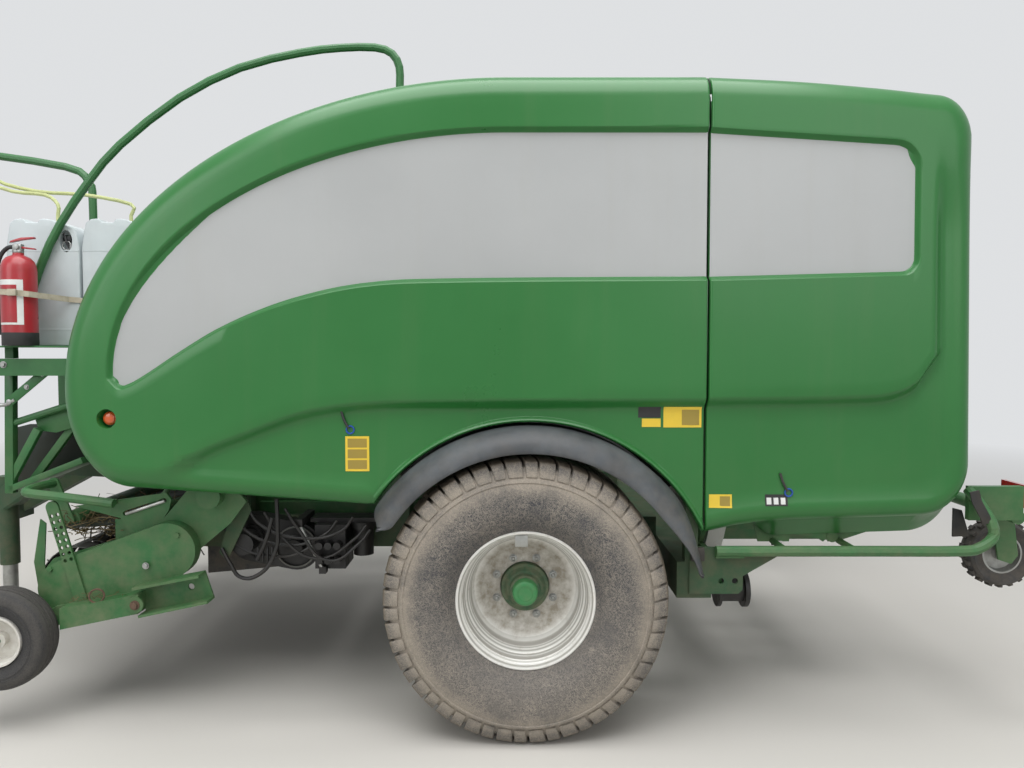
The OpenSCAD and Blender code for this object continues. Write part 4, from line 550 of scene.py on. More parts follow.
def face_outward(item):
    pick(item)
    bpy.ops.object.mode_set(mode="EDIT")
    bpy.ops.mesh.select_all(action="SELECT")
    bpy.ops.mesh.normals_make_consistent(inside=False)
    bpy.ops.object.mode_set(mode="OBJECT")


def thickened(sheet, thickness, offset=0):
    """Gives a sheet its thickness, on one side of it or on both, and faces it outward."""
    solid = sheet.modifiers.new("sheet thickness", "SOLIDIFY")
    solid.thickness = thickness
    solid.offset = offset
    solid.use_even_offset = False
    apply_all(sheet)
    face_outward(sheet)
    return sheet


def finish_piece(item, material, body, angle=35):
    """Puts the piece's place in its mesh and gives it its name, finish, shading and body."""
    pick(item)
    bpy.ops.object.transform_apply(location=True, rotation=True, scale=True)
    item.name = item.name.replace(" ", "_")
    item.data.materials.clear()
    item.data.materials.append(material)
    if angle:
        bpy.ops.object.shade_smooth_by_angle(angle=math.radians(angle))
    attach(item, body)
    return item


# The skin's edge is folded inward twice. For each fold: the head's y and rise, the y of the edge
# by the seam's foot, and the y and fall of the sill
FLANGE_Y, FOOT_TURN_Y = 960, 1130
FOLDS = [(PANEL_Y - 2 * EDGE_R, 26, 1265, FOOT_TURN_Y + 40, -50),
         (FLANGE_Y, 10, 1260, FOOT_TURN_Y, -40)]
HEAD_FROM_Z, HEAD_BAND = 1900, 45
SEAM_FOOT_X, SEAM_FOOT_TOP = 1300, 1300
HANG_X, HANG_RUN, HANG_TOP, HANG_FADE = 1750, 150, 1250, 200


def extrude_rim(item, picks, target):
    """Extrudes the chosen boundary edges once and moves the new vertices to target(x, y, z)."""
    mesh = item.data
    pick(item)
    bpy.ops.object.mode_set(mode="EDIT")
    bpy.ops.mesh.select_mode(type="EDGE")
    bpy.ops.mesh.select_all(action="DESELECT")
    bpy.ops.object.mode_set(mode="OBJECT")
    for edge in mesh.edges:
        edge.select = edge.key in picks
    bpy.ops.object.mode_set(mode="EDIT")
    before = len(mesh.vertices)
    bpy.ops.mesh.extrude_edges_move()
    bpy.ops.object.mode_set(mode="OBJECT")
    fresh = set(range(before, len(mesh.vertices)))
    for index in fresh:
        vertex = mesh.vertices[index]
        vertex.co = Vector(target(*(vertex.co / MM))) * MM
    return {edge.key for edge in mesh.edges
            if edge.vertices[0] in fresh and edge.vertices[1] in fresh}


def door_skin(kind, side):
    door = DOORS[kind]
    columns = door_columns(door)
    count = len(columns)

    def place(flat):
        return on_door(kind, side, flat, skin_depth(kind, flat))

    skin = laid_grid(f"{kind} side door skin {'left' if side < 0 else 'right'}", columns,
                     lambda x: door_rows(door, x), place)
    rows = len(skin.data.vertices) // count
    foot = list(range(count))
    head = [(rows - 1) * count + i for i in range(count)]
    free = [j * count + (0 if kind == "front" else count - 1) for j in range(rows)]
    rim = foot[::-1] + free[1:] + head[1:] if kind == "front" else foot + free[1:] + head[::-1][1:]
    picks = {tuple(sorted(pair)) for pair in zip(rim, rim[1:])}
    for head_y, head_rise, seam_foot_y, sill_y, sill_fall in FOLDS:
        def target(x, _, z):
            top = door["top"](x + lean(x, z) * (kind == "rear"))
            if z > HEAD_FROM_Z and z > top - HEAD_BAND:
                return x, side * head_y, z + head_rise
            if kind == "front" and x > SEAM_FOOT_X and z < SEAM_FOOT_TOP:
                return x, side * seam_foot_y, z
            hang = (smooth_step((x - HANG_X) / HANG_RUN) * smooth_step((HANG_TOP - z) / HANG_FADE)
                    if kind == "rear" and z < HANG_TOP else 0)
            return x, side * sill_y, z + sill_fall * hang
        picks = extrude_rim(skin, picks, target)
    return thickened(skin, SKIN_T * MM, side)


# %% [markdown]
# The other pieces are bought or turned parts, and they start from a few shapes: a round bar, a
# box, a turned profile and a bent tube. Each helper adds its primitive at its size and place and
# finishes it in edit mode or with a modifier, as one would by hand.

# %% Small helpers for edit-mode work
def cylinder(name, radius, length, centre, axis="Y", sides=48, bevel=0.0, segments=2):
    turn = {"X": (0, math.pi / 2, 0), "Y": (math.pi / 2, 0, 0), "Z": (0, 0, 0)}[axis]
    deselect()
    bpy.ops.mesh.primitive_cylinder_add(vertices=sides, radius=radius, depth=length,
                                        location=centre, rotation=turn)
    item = bpy.context.object
    item.name = name
    return bevelled(item, bevel, segments)


def bevelled(item, width, segments=2, angle=40):
    if width:
        edge = item.modifiers.new("rounded edges", "BEVEL")
        edge.width = width
        edge.segments = segments
        edge.limit_method = "ANGLE"
        edge.angle_limit = math.radians(angle)
        apply_all(item)
    return item


def box(name, low, high, bevel=0.0, segments=2):
    """A box between two corners, in metres."""
    deselect()
    centre = [(a + b) / 2 for a, b in zip(low, high)]
    bpy.ops.mesh.primitive_cube_add(size=1, location=centre)
    item = bpy.context.object
    item.name = name
    item.scale = [abs(b - a) for a, b in zip(low, high)]
    bpy.ops.object.transform_apply(location=False, rotation=False, scale=True)
    return bevelled(item, bevel, segments)


def joined(name, items):
    deselect()
    for item in items:
        item.select_set(True)
    bpy.context.view_layer.objects.active = items[0]
    if len(items) > 1:
        bpy.ops.object.join()
    items[0].name = name
    return items[0]


def cut_away(item, tool, solver="EXACT"):
    cut = item.modifiers.new("cut", "BOOLEAN")
    cut.operation = "DIFFERENCE"
    cut.solver = solver
    cut.object = tool
    apply_all(item)
    deselect()
    bpy.data.objects.remove(tool, do_unlink=True)


def lathe(name, profile, centre, axis=(0, 1, 0), steps=96):
    """A closed profile of (radius, along) points in metres, spun round an axis through centre."""
    deselect()
    bpy.ops.mesh.primitive_circle_add(vertices=len(profile), radius=1, fill_type="NOTHING")
    item = bpy.context.object
    item.name = name
    axis = Vector(axis)
    out = Vector((1, 0, 0)) if abs(axis.x) < 0.5 else Vector((0, 1, 0))
    for vertex, (radius, along) in zip(item.data.vertices, profile):
        vertex.co = out * radius + axis * along
    bpy.ops.object.mode_set(mode="EDIT")
    bpy.ops.mesh.select_all(action="SELECT")
    bpy.ops.mesh.spin(steps=steps, angle=2 * math.pi, center=(0, 0, 0), axis=axis)
    bpy.ops.mesh.select_all(action="SELECT")
    bpy.ops.mesh.remove_doubles(threshold=0.00002)
    bpy.ops.mesh.normals_make_consistent(inside=False)
    bpy.ops.object.mode_set(mode="OBJECT")
    item.location = centre
    return item


def pipe(name, points, radius, sides=12, smooth=True):
    """A round tube along points, made from a curve with a bevel and turned into a mesh."""
    deselect()
    bpy.ops.curve.primitive_bezier_curve_add()
    item = bpy.context.object
    item.name = name
    curve = item.data
    curve.splines.clear()
    spline = curve.splines.new("BEZIER" if smooth else "POLY")
    knots = spline.bezier_points if smooth else spline.points
    knots.add(len(points) - 1)
    for knot, point in zip(knots, points):
        if smooth:
            knot.co = point
            knot.handle_left_type = knot.handle_right_type = "AUTO"
        else:
            knot.co = (*point, 1)
    curve.bevel_depth = radius
    curve.bevel_resolution = max(0, sides // 4 - 1)
    curve.resolution_u = 8
    curve.use_fill_caps = True
    bpy.ops.object.convert(target="MESH")
    item = bpy.context.object
    bpy.ops.object.mode_set(mode="EDIT")
    bpy.ops.mesh.select_all(action="SELECT")
    bpy.ops.mesh.remove_doubles(threshold=0.00002)
    bpy.ops.mesh.normals_make_consistent(inside=False)
    bpy.ops.object.mode_set(mode="OBJECT")
    return item


# %% [markdown]
# Each door hangs on two lugs that are moulded to its roof, with a bore for the pin. The front
# doors also have a round cup for the lamp, so a hole is cut in the skin and a turned cup set in.

# %% Hinge lugs, lamp recess and the four doors
HINGE_Y, HINGE_Z, PIN_R, LUG_R, LUG_W = 0.930, 2.856, 0.010, 0.026, 0.030
HINGES = {"front": (0.240, 1.340), "rear": (1.700, 2.150)}
LAMP_X, LAMP_Z, LAMP_R = -0.988, 1.390, 0.029
LAMP_CUP = [(0.000, 0.0), (0.037, 0.0), (0.0405, 0.006), (0.0408, 0.0430), (0.0435, 0.0480),
            (0.0455, 0.0460), (0.0460, 0.003), (0.042, -0.006), (0.000, -0.006)]
SIDES = {"left": LEFT, "right": RIGHT}


def hinge_lug(kind, x, side):
    place = (x + LUG_W / 2, side * HINGE_Y, HINGE_Z)
    eye = cylinder("lug eye", LUG_R, LUG_W, place, "X", 40, 0.002)
    top = DOORS[kind]["top"](x / MM) * MM
    web = box("lug web", (x, side * HINGE_Y, top + 0.013),
              (x + LUG_W, side * (FLANGE_Y + 60) * MM, HINGE_Z + 0.008), 0.002)
    lug = joined("lug", [eye, web])
    cut_away(lug, cylinder("bore", PIN_R + 0.0008, LUG_W * 2, place, "X", 32))
    return lug


for side_name, side in SIDES.items():
    for kind in DOORS:
        node = f"{kind}_door_{side_name}"
        body = f"{kind}_door_{side_name[0]}"
        skin = door_skin(kind, side)
        if kind == "front":
            place = (LAMP_X, side * (PANEL_Y * MM - 0.02), LAMP_Z)
            cut_away(skin, cylinder("lamp hole", LAMP_R + 0.012, 0.2, place, "Y", 64),
                     solver="FAST")
            depth = side * (PANEL_Y * MM - 0.050)
            cup = lathe("lamp cup", LAMP_CUP, (LAMP_X, depth, LAMP_Z), axis=(0, side, 0), steps=64)
            skin = joined(skin.name, [skin, cup])
        lugs = [hinge_lug(kind, x, side) for x in HINGES[kind]]
        skin = joined(f"{kind} side door {side_name}", [skin] + lugs)
        finish_piece(skin, door_gloss, body, angle=32)
        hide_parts(node)
        print(skin.name, len(skin.data.polygons), "faces")

# %% [markdown]
# The pale panels are flat sheets, laid in the recess of each door. Each is a grid again, given a
# real thickness of two millimetres. Its border runs below the rim of the recess, so no gap shows.

# %% Pale panels in the recesses
PANEL_T = 0.002
PANEL_IN, PANEL_LIFT = 0.8 * LIP, 0.3


def panel_sheet(kind, side, name):
    door = DOORS[kind]
    end, seam = door["pit_end"], door["seam"]
    way = 1 if end < seam else -1
    first = spaced(end + way * PANEL_IN, end + way * 360, 26, ease=True)
    rest = spaced(first[-1], seam - way * 3, 60)
    columns = sorted([end + way * (PANEL_IN + 0.5)] + first + rest)

    def rows_at(x):
        low, high = door["pit_low"](x) + PANEL_IN, door["pit_top"](x) - PANEL_IN
        middle = (low + high) / 2
        low, high = min(low, middle - 1), max(high, middle + 1)
        return [low + (high - low) * j / 24 for j in range(25)]

    def place(flat):
        return on_door(kind, side, flat, np.full(len(flat), PIT - PANEL_LIFT))

    return thickened(laid_grid(name, columns, rows_at, place), PANEL_T, -side)


for side_name, side in SIDES.items():
    for kind in DOORS:
        sheet = panel_sheet(kind, side, f"pale panel {kind} {side_name}")
        finish_piece(sheet, inset_silver, f"{kind}_door_{side_name[0]}")
        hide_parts(f"{kind}_inset_{side_name}")
        print(sheet.name, [round(v, 3) for v in sheet.dimensions])

# %% [markdown]
# The marker lamp is a moulded lens with a stepped rim and a shallow dome. It's turned like the cup
# that holds it, and its clear coat gives the small highlight.

# %% Amber side lamps
LENS = [(0.0, 0.0), (LAMP_R, 0.0), (LAMP_R, 0.010), (0.0275, 0.0135), (0.0245, 0.0150),
        (0.0235, 0.0185), (0.0205, 0.0205), (0.014, 0.0225), (0.0, 0.0235)]
for side_name, side in SIDES.items():
    base = side * (PANEL_Y * MM - 0.0420)
    lens = lathe(f"amber lamp {side_name}", LENS, (LAMP_X, base, LAMP_Z), axis=(0, side, 0),
                 steps=56)
    finish_piece(lens, amber_lens, f"front_door_{side_name[0]}")
    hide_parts(f"marker_lamps_{side_name}")
    print(lens.name, [round(v, 3) for v in lens.dimensions])

# %% [markdown]
# Mud dries on a tyre in thin fibres, because chopped grass sticks in it. A noise pattern cut to
# narrow bands gives those fibres, in three sizes. The mud is thick in a ring near the shoulder
# and on the tread, and thin near the rim, where the dark rubber shows.

# %% Muddy rubber
AXLE_X, AXLE_Z, TRACK_HALF, TYRE_R = 0.780, 0.614, 1.125, 0.614
GAUGE_CENTRE, GAUGE_R = (-1.521, 1.2205, 0.413), 0.223
# Scale, width and distortion of each size of fibre
FIBRES = [(20.0, 0.030, 2.6), (36.0, 0.036, 3.0), (64.0, 0.046, 1.8)]


def fibres(tree, place, scale, width, distortion):
    """Thin lines where a noise pattern crosses its middle value."""
    noise = add(tree, NOISE, {"Vector": place, "Scale": scale, "Detail": 2.0,
                              "Distortion": distortion})
    off = add(tree, MATH, {0: noise, 1: 0.5}, operation="SUBTRACT")
    off = add(tree, MATH, {0: off}, operation="ABSOLUTE")
    return add(tree, RANGE, {0: off, 1: width, 2: 0.0})


def wheel_radius(tree, place, centre_x, centre_z):
    """Distance from a wheel's axis, for patterns that run round it."""
    flat = add(tree, "ShaderNodeVectorMath", {0: place, 1: (centre_x, 0, centre_z)},
               operation="SUBTRACT")
    flat = add(tree, "ShaderNodeVectorMath", {0: flat, 1: (1, 0, 1)}, operation="MULTIPLY")
    return add(tree, "ShaderNodeVectorMath", {0: flat}, 1, operation="LENGTH")


def muddy_rubber(name, centre_x, centre_z, radius, rubber, mud, thick_mud, amount=1.0):
    material, tree, place = new_surface(name)
    reach = wheel_radius(tree, place, centre_x, centre_z)
    share = add(tree, RANGE, {0: reach, 1: 0.0, 2: radius})
    lines = fibres(tree, place, *FIBRES[0])
    for size in FIBRES[1:]:
        lines = add(tree, MATH, {0: lines, 1: fibres(tree, place, *size)}, operation="MAXIMUM")
    cloud = add(tree, NOISE, {"Vector": place, "Scale": 7.0, "Detail": 8.0, "Roughness": 0.7})
    crumbs = add(tree, NOISE, {"Vector": place, "Scale": 60.0, "Detail": 6.0, "Roughness": 0.75})
    # Thin mud: the fibres, fewer near the rim and in patches
    wall = add(tree, RANGE, {0: share, 1: 0.48, 2: 0.70, 3: 0.55, 4: 0.95})
    patchy = add(tree, RANGE, {0: cloud, 1: 0.34, 2: 0.58, 3: 0.45})
    thin = add(tree, MATH, {0: lines, 1: wall}, **PRODUCT)
    thin = add(tree, MATH, {0: thin, 1: patchy}, **PRODUCT)
    # Thick mud: a ring below the shoulder and crumbs all over; the wash near the ground is painted
    # light
    ring_start = add(tree, RANGE, {0: share, 1: 0.72, 2: 0.82})
    ring_end = add(tree, RANGE, {0: share, 1: 0.955, 2: 0.90, 3: 0.35})
    ring = add(tree, MATH, {0: ring_start, 1: ring_end}, **PRODUCT)
    ring_cloud = add(tree, RANGE, {0: cloud, 1: 0.30, 2: 0.55, 3: 0.30, 4: 0.80})
    ring = add(tree, MATH, {0: ring, 1: ring_cloud}, **PRODUCT)
    coarse = add(tree, RANGE, {0: crumbs, 1: 0.42, 2: 0.60})
    coarse_cloud = add(tree, RANGE, {0: cloud, 1: 0.42, 2: 0.60})
    crumbly = add(tree, MATH, {0: coarse, 1: coarse_cloud}, **PRODUCT)
    crumbly = add(tree, MATH, {0: crumbly, 1: 0.22}, **PRODUCT)
    # The wash brightens the lower tyre as light from the floor would: painted light, not mud
    height = add(tree, "ShaderNodeSeparateXYZ", {"Vector": place}, "Z")
    low_down = add(tree, RANGE, {0: height, 1: centre_z + radius * 0.4, 2: centre_z - radius,
                                 4: 0.32})
    thick = add(tree, MATH, {0: ring, 1: crumbly}, operation="MAXIMUM")
    thick = add(tree, MATH, {0: thick, 1: low_down}, operation="MAXIMUM")
    thick = add(tree, MATH, {0: thick, 1: amount}, **PRODUCT)
    tread = add(tree, RANGE, {0: share, 1: 0.955, 2: 0.985})
    tread_crumbs = add(tree, RANGE, {0: crumbs, 1: 0.30, 2: 0.58, 3: 0.35, 4: 0.95})
    skin = colour(rubber)
    for first, second, tone in ((thin, 0.85 * amount, mud), (thick, 0.82, mud),
                                (tread, tread_crumbs, thick_mud)):
        cover = add(tree, MATH, {0: first, 1: second}, **PRODUCT)
        skin = add(tree, MIX, {0: cover, 6: skin, 7: colour(tone)}, **COLOURS)
    raised = add(tree, MATH, {0: lines, 1: 0.5}, **PRODUCT)
    for pattern, share_of_it in ((thick, 0.6), (crumbs, 0.6)):
        raised = add(tree, MATH, {0: pattern, 1: share_of_it, 2: raised},
                     operation="MULTIPLY_ADD")
    relief = add(tree, "ShaderNodeBump", {"Height": raised, "Strength": 0.55, "Distance": 0.003})
    dull = add(tree, RANGE, {0: thick, 1: 0.0, 2: 1.0, 3: 0.62, 4: 0.95})
    surface = add(tree, "ShaderNodeBsdfPrincipled", {"Base Color": skin, "Roughness": dull,
                                                     "Normal": relief})
    add(tree, "ShaderNodeOutputMaterial", {"Surface": surface})
    return material


main_tyre_rubber = muddy_rubber("main tyre rubber with dried mud", AXLE_X, AXLE_Z, TYRE_R,
                                "#414245", "#a89e90", "#6f6453")
gauge_tyre_rubber = muddy_rubber("gauge tyre rubber with dust", GAUGE_CENTRE[0], GAUGE_CENTRE[2],
                                 GAUGE_R, "#232427", "#6f6a62", "#4b4845", amount=0.35)

# %% [markdown]
# A tyre is a turned carcass with blocks on it. One pitch of the pattern has a wide and a narrow
# block on each shoulder, with narrow gaps, and each block runs from the middle groove over the
# shoulder and leans like a chevron. The pitch is then copied round the axle.

# %% Main tyres
BLOCK_PAIRS = 26
BLOCK_SECTION = [(0.574, 0.020), (0.6135, 0.020), (0.6135, 0.176), (0.6105, 0.200), (0.601, 0.238),
                 (0.570, 0.252), (0.538, 0.2645), (0.531, 0.240)]
CHEVRON, CHEVRON_FROM = 0.22, 0.14
BLOCKS_OF_A_PAIR = ((0.070, 0.000), (0.054, 0.072))
# Half of the carcass from the middle of the tread to the bead, then back along the liner
CARCASS = [(0.592, 0.0), (0.591, 0.150), (0.586, 0.205), (0.575, 0.236), (0.556, 0.250),
           (0.536, 0.258), (0.5295, 0.262), (0.5265, 0.2705), (0.5170, 0.2745), (0.5125, 0.2715),
           (0.500, 0.2755), (0.478, 0.2790), (0.452, 0.2800), (0.424, 0.2795), (0.395, 0.2755),
           (0.368, 0.2665), (0.345, 0.2520), (0.330, 0.2375), (0.3235, 0.2325), (0.3195, 0.2250),
           (0.309, 0.2165), (0.3005, 0.2105), (0.2925, 0.2015), (0.2845, 0.1815)]
LINER = [(0.360, 0.230), (0.430, 0.248), (0.515, 0.236), (0.556, 0.185), (0.562, 0.0)]


def mirrored(half):
    return half + [(r, -a) for r, a in reversed(half) if a]


def round_the_axle(item, centre, copies):
    """Copies a piece round an axis along Y, in edit mode."""
    pick(item)
    bpy.ops.object.mode_set(mode="EDIT")
    bpy.ops.mesh.select_all(action="SELECT")
    bpy.ops.mesh.spin(steps=copies - 1, angle=2 * math.pi * (copies - 1) / copies, center=centre,
                      axis=(0, 1, 0), dupli=True)
    bpy.ops.object.mode_set(mode="OBJECT")
    return item


def tread_block(width, middle, flank, centre):
    """One block: its section is extruded across its width, then leant and bent round the axle."""
    deselect()
    bpy.ops.mesh.primitive_circle_add(vertices=len(BLOCK_SECTION), radius=1, fill_type="NGON")
    block = bpy.context.object
    for vertex, (radius, along) in zip(block.data.vertices, BLOCK_SECTION):
        vertex.co = (radius, flank * along, middle - width / 2)
    bpy.ops.object.mode_set(mode="EDIT")
    bpy.ops.mesh.select_all(action="SELECT")
    bpy.ops.mesh.extrude_region_move(TRANSFORM_OT_translate={"value": (0, 0, width)})
    bpy.ops.object.mode_set(mode="OBJECT")
    for vertex in block.data.vertices:
        radius, along, across = vertex.co
        turn = (across + flank * CHEVRON * (abs(along) - CHEVRON_FROM)) / TYRE_R
        vertex.co.x, vertex.co.z = radius * math.cos(turn), radius * math.sin(turn)
    block.location = centre
    bpy.ops.object.transform_apply(location=True, rotation=False, scale=False)
    face_outward(block)
    return bevelled(block, 0.0045, 2, 30)


def main_tyre(side):
    centre = (AXLE_X, side * TRACK_HALF, AXLE_Z)
    inside = [(r, -a) for r, a in reversed(LINER) if a]
    profile = mirrored(CARCASS)
    cut = len(CARCASS)
    profile = profile[:cut] + LINER + inside + profile[cut:]
    carcass = lathe("carcass", profile, centre, steps=128)
    blocks = [tread_block(width, middle, flank, centre)
              for flank in (-1, 1) for width, middle in BLOCKS_OF_A_PAIR]
    pattern = round_the_axle(joined("tread", blocks), centre, BLOCK_PAIRS)
    return joined(f"main tyre {'left' if side < 0 else 'right'}", [carcass, pattern])


for side_name, side in SIDES.items():
    tyre = main_tyre(side)
    finish_piece(tyre, main_tyre_rubber, f"wheel_{side_name}", angle=30)
    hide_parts(f"tyre_{side_name}")
    print(tyre.name, len(tyre.data.polygons), "faces")

# %% [markdown]
# The rim is deep: a rounded flange, the bead seat, four steps down the barrel, then the disc with
# its studs. Each step catches a ring of light. The hub is turned too, with a lighter green cap.

# %% Rims, studs and hubs
RIM_FACE = [(0.3000, 0.2060), (0.2990, 0.2125), (0.2945, 0.2150), (0.2890, 0.2135),
            (0.2862, 0.2080), (0.2845, 0.2000), (0.2800, 0.1925), (0.2765, 0.1880),
            (0.2745, 0.1720), (0.2705, 0.1665), (0.2692, 0.1400), (0.2648, 0.1320),
            (0.2625, 0.1230), (0.2552, 0.1150), (0.2525, 0.1060), (0.2440, 0.0960),
            (0.2405, 0.0860), (0.2392, 0.0500), (0.2350, 0.0300), (0.2275, 0.0185),
            (0.2150, 0.0150), (0.2040, 0.0110), (0.1900, 0.0030), (0.1740, -0.0045),
            (0.1600, -0.0060), (0.1115, -0.0060), (0.1105, -0.0180)]
RIM_BACK = [(0.1740, -0.0180), (0.2040, -0.0090), (0.2300, 0.0030), (0.2340, -0.0100),
            (0.2380, -0.0950), (0.2660, -0.1250), (0.2720, -0.1850), (0.2830, -0.2030),
            (0.2890, -0.2140), (0.2970, -0.2150), (0.3000, -0.2080), (0.2917, -0.2010),
            (0.2837, -0.1810), (0.2780, -0.1230), (0.2500, -0.0910), (0.2500, 0.0910),
            (0.2780, 0.1230), (0.2837, 0.1810), (0.2917, 0.2010)]
HUB_PROFILE = [(0.0405, -0.1100), (0.0820, -0.1100), (0.0840, -0.1080), (0.0840, -0.0400),
               (0.1700, -0.0400), (0.1720, -0.0380), (0.1720, -0.0200), (0.1700, -0.0183),
               (0.1080, -0.0183), (0.1080, 0.0150), (0.1060, 0.0190), (0.1020, 0.0205),
               (0.0940, 0.0205), (0.0900, 0.0230), (0.0810, 0.0350), (0.0760, 0.0380),
               (0.0705, 0.0390), (0.0680, 0.0420), (0.0675, 0.0650), (0.0650, 0.0700),
               (0.0600, 0.0720), (0.0500, 0.0725), (0.0405, 0.0725)]
CAP_PROFILE = [(0.0, 0.0730), (0.0575, 0.0730), (0.0560, 0.0780), (0.0556, 0.1060),
               (0.0540, 0.1130), (0.0500, 0.1170), (0.0440, 0.1192), (0.0330, 0.1194),
               (0.0315, 0.1175), (0.0, 0.1170)]
STUDS, STUD_CIRCLE_R = 8, 0.1375
cap_enamel = weathered("bright green cap enamel", "#2f8048", "#3c7d49", fade=0.6, dirt=0.25,
                       rough=(0.3, 0.5), patch=30.0, grit=40.0)

# %% [markdown]
# The lacquer has dark rings at the radii of the steps, painted shade in their corners, and a darker
# mottled disc. Both are read from the distance to the
# wheel's axis.

# %% Lacquer with painted shade in the steps
STEP_RADII = (0.2400, 0.2450, 0.2535, 0.2640, 0.2700, 0.2850)
DISC_R = 0.236
rim_lacquer_with_step_shade, tree, place = new_surface("silver wheel lacquer with grime in the steps")
reach = wheel_radius(tree, place, AXLE_X, AXLE_Z)
painted_step_shade = None
# Each ring is painted shade in the corner of a step
for radius in STEP_RADII:
    off = add(tree, MATH, {0: reach, 1: radius}, operation="SUBTRACT")
    off = add(tree, MATH, {0: off}, operation="ABSOLUTE")
    line = add(tree, RANGE, {0: off, 1: 0.0030, 2: 0.0004})
    painted_step_shade = add(tree, MATH, {0: painted_step_shade, 1: line}, operation="MAXIMUM") if painted_step_shade else line
painted_step_shade = add(tree, MATH, {0: painted_step_shade, 1: 0.55}, **PRODUCT)
mottled = add(tree, NOISE, {"Vector": place, "Scale": 22.0, "Detail": 8.0, "Roughness": 0.7})
on_disc = add(tree, RANGE, {0: reach, 1: DISC_R, 2: 0.200})
disc_mottle = add(tree, RANGE, {0: mottled, 1: 0.30, 2: 0.62, 3: 0.35, 4: 0.9})
on_disc = add(tree, MATH, {0: on_disc, 1: disc_mottle}, **PRODUCT)
specks = add(tree, RANGE, {0: mottled, 1: 0.54, 2: 0.68})
specks = add(tree, MATH, {0: specks, 1: 0.30}, **PRODUCT)
skin = colour("#e6e5e0")
for cover, tone in ((specks, "#a59a87"), (on_disc, "#8f8676"), (painted_step_shade, "#6d655a")):
    skin = add(tree, MIX, {0: cover, 6: skin, 7: colour(tone)}, **COLOURS)
dull = add(tree, RANGE, {0: on_disc, 1: 0.0, 2: 1.0, 3: 0.34, 4: 0.75})
surface = add(tree, "ShaderNodeBsdfPrincipled", {"Base Color": skin, "Metallic": 0.15,
                                                 "Roughness": dull})
add(tree, "ShaderNodeOutputMaterial", {"Surface": surface})
# The rings counted here are the painted shade of the steps
print(len(STEP_RADII), "rings of grime on the rims")


# %% [markdown]
# One nut is made and copied round the hub. A small bright guard sits at the top of the barrel over
# the valve.

# %% Rims and hubs in place
def wheel_nut(side, centre):
    """A six-sided nut on its washer, with the rounded end of the stud in it."""
    x, y, z = centre
    washer = cylinder("washer", 0.0185, 0.003, (x, y - side * 0.0035, z), "Y", 24)
    nut = cylinder("nut", 0.0160, 0.013, (x, y + side * 0.0040, z), "Y", 6, 0.001)
    deselect()
    bpy.ops.mesh.primitive_uv_sphere_add(segments=16, ring_count=8, radius=0.0098,
                                         location=(x, y + side * 0.0100, z))
    return joined("nut", [washer, nut, bpy.context.object])


for side_name, side in SIDES.items():
    hub_centre = (AXLE_X, side * TRACK_HALF, AXLE_Z)
    body = f"wheel_{side_name}"
    rim = lathe(f"wheel rim {side_name}", RIM_FACE + RIM_BACK, hub_centre, axis=(0, side, 0),
                steps=128)
    guard = box(f"valve guard {side_name}",
                (AXLE_X - 0.046, side * (TRACK_HALF + 0.168), AXLE_Z + 0.2280),
                (AXLE_X + 0.010, side * (TRACK_HALF + 0.196), AXLE_Z + 0.2790), 0.003)
    finish_piece(rim, rim_lacquer_with_step_shade, body, angle=28)
    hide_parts(f"rim_{side_name}")
    finish_piece(guard, zinc, body)
    hub = lathe(f"wheel hub {side_name}", HUB_PROFILE, hub_centre, axis=(0, side, 0), steps=80)
    finish_piece(hub, hub_enamel, body, angle=30)
    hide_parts(f"hub_{side_name}")
    cap = lathe(f"hub cap {side_name}", CAP_PROFILE, hub_centre, axis=(0, side, 0), steps=72)
    finish_piece(cap, cap_enamel, body)
    tilt = math.pi / STUDS
    first = (AXLE_X + STUD_CIRCLE_R * math.cos(tilt), side * TRACK_HALF,
             AXLE_Z + STUD_CIRCLE_R * math.sin(tilt))
    nuts = wheel_nut(side, first)
    nuts.name = f"wheel nuts {side_name}"
    round_the_axle(nuts, hub_centre, STUDS)
    finish_piece(nuts, zinc, body, angle=40)
    print(rim.name, len(rim.data.polygons), "faces, with", STUDS, "nuts")

# %% [markdown]
# The mudguards are thick rubber bands that arch over the tyres. The sheet is a grid whose long
# side follows the arch and whose short side follows the rounded section. It narrows to a round
# end in front and to a slim tail behind. Inside, a flat lining lies over the tyre, and a dark wall
# on its inner edge closes the view into the machine.

# %% Mudguards
GUARD_SECTION = [(0.800, 1.2835), (0.7985, 1.3000), (0.7945, 1.3180), (0.7870, 1.3360),
                 (0.7760, 1.3520), (0.7630, 1.3670), (0.7480, 1.3800), (0.7300, 1.3900),
                 (0.7120, 1.3960), (0.7040, 1.3975), (0.6960, 1.3980), (0.6915, 1.3960),
                 (0.6900, 1.3920)]
GUARD_T = 0.011
# The band's ends in degrees round the arch. It tapers to this radius over its tail, its rounded
# tip and its rounded nose
GUARD_FRONT, GUARD_REAR = 149.4, 13.8
GUARD_MID_R, GUARD_TAIL, GUARD_TIP, GUARD_NOSE = 0.745, 26, 1.6, 4.4
NOSE_R, TAIL_SHARE = 0.055, 0.30
LINING_FROM, LINING_TURN, LINING_STEPS = 34, 106, 50
LINING_R, LINING_YS, WALL_RADII, WALL_Y = 0.7985, (0.862, 1.10, 1.2845), (0.790, 0.905), 0.8650


def guard_share(turn):
    """How much of the section's height is left at this place of the arch, from 0 to 1."""
    ahead = math.radians(GUARD_FRONT - turn) * GUARD_MID_R / NOSE_R
    behind = (turn - GUARD_REAR) / GUARD_TAIL
    front = math.sqrt(max(0.0, 1 - (1 - min(1.0, ahead)) ** 2))
    rear = TAIL_SHARE + (1 - TAIL_SHARE) * smooth_step(behind)
    tip = math.sqrt(max(0.0, 1 - (1 - min(1.0, behind * GUARD_TAIL / GUARD_TIP)) ** 2))
    return max(0.02, front) * rear * max(0.05, tip)


def on_arch(radius, y, degrees):
    """A place on the wheel arch, in metres."""
    a = math.radians(degrees)
    return ARCH_X * MM + radius * math.cos(a), y, ARCH_Z * MM + radius * math.sin(a)


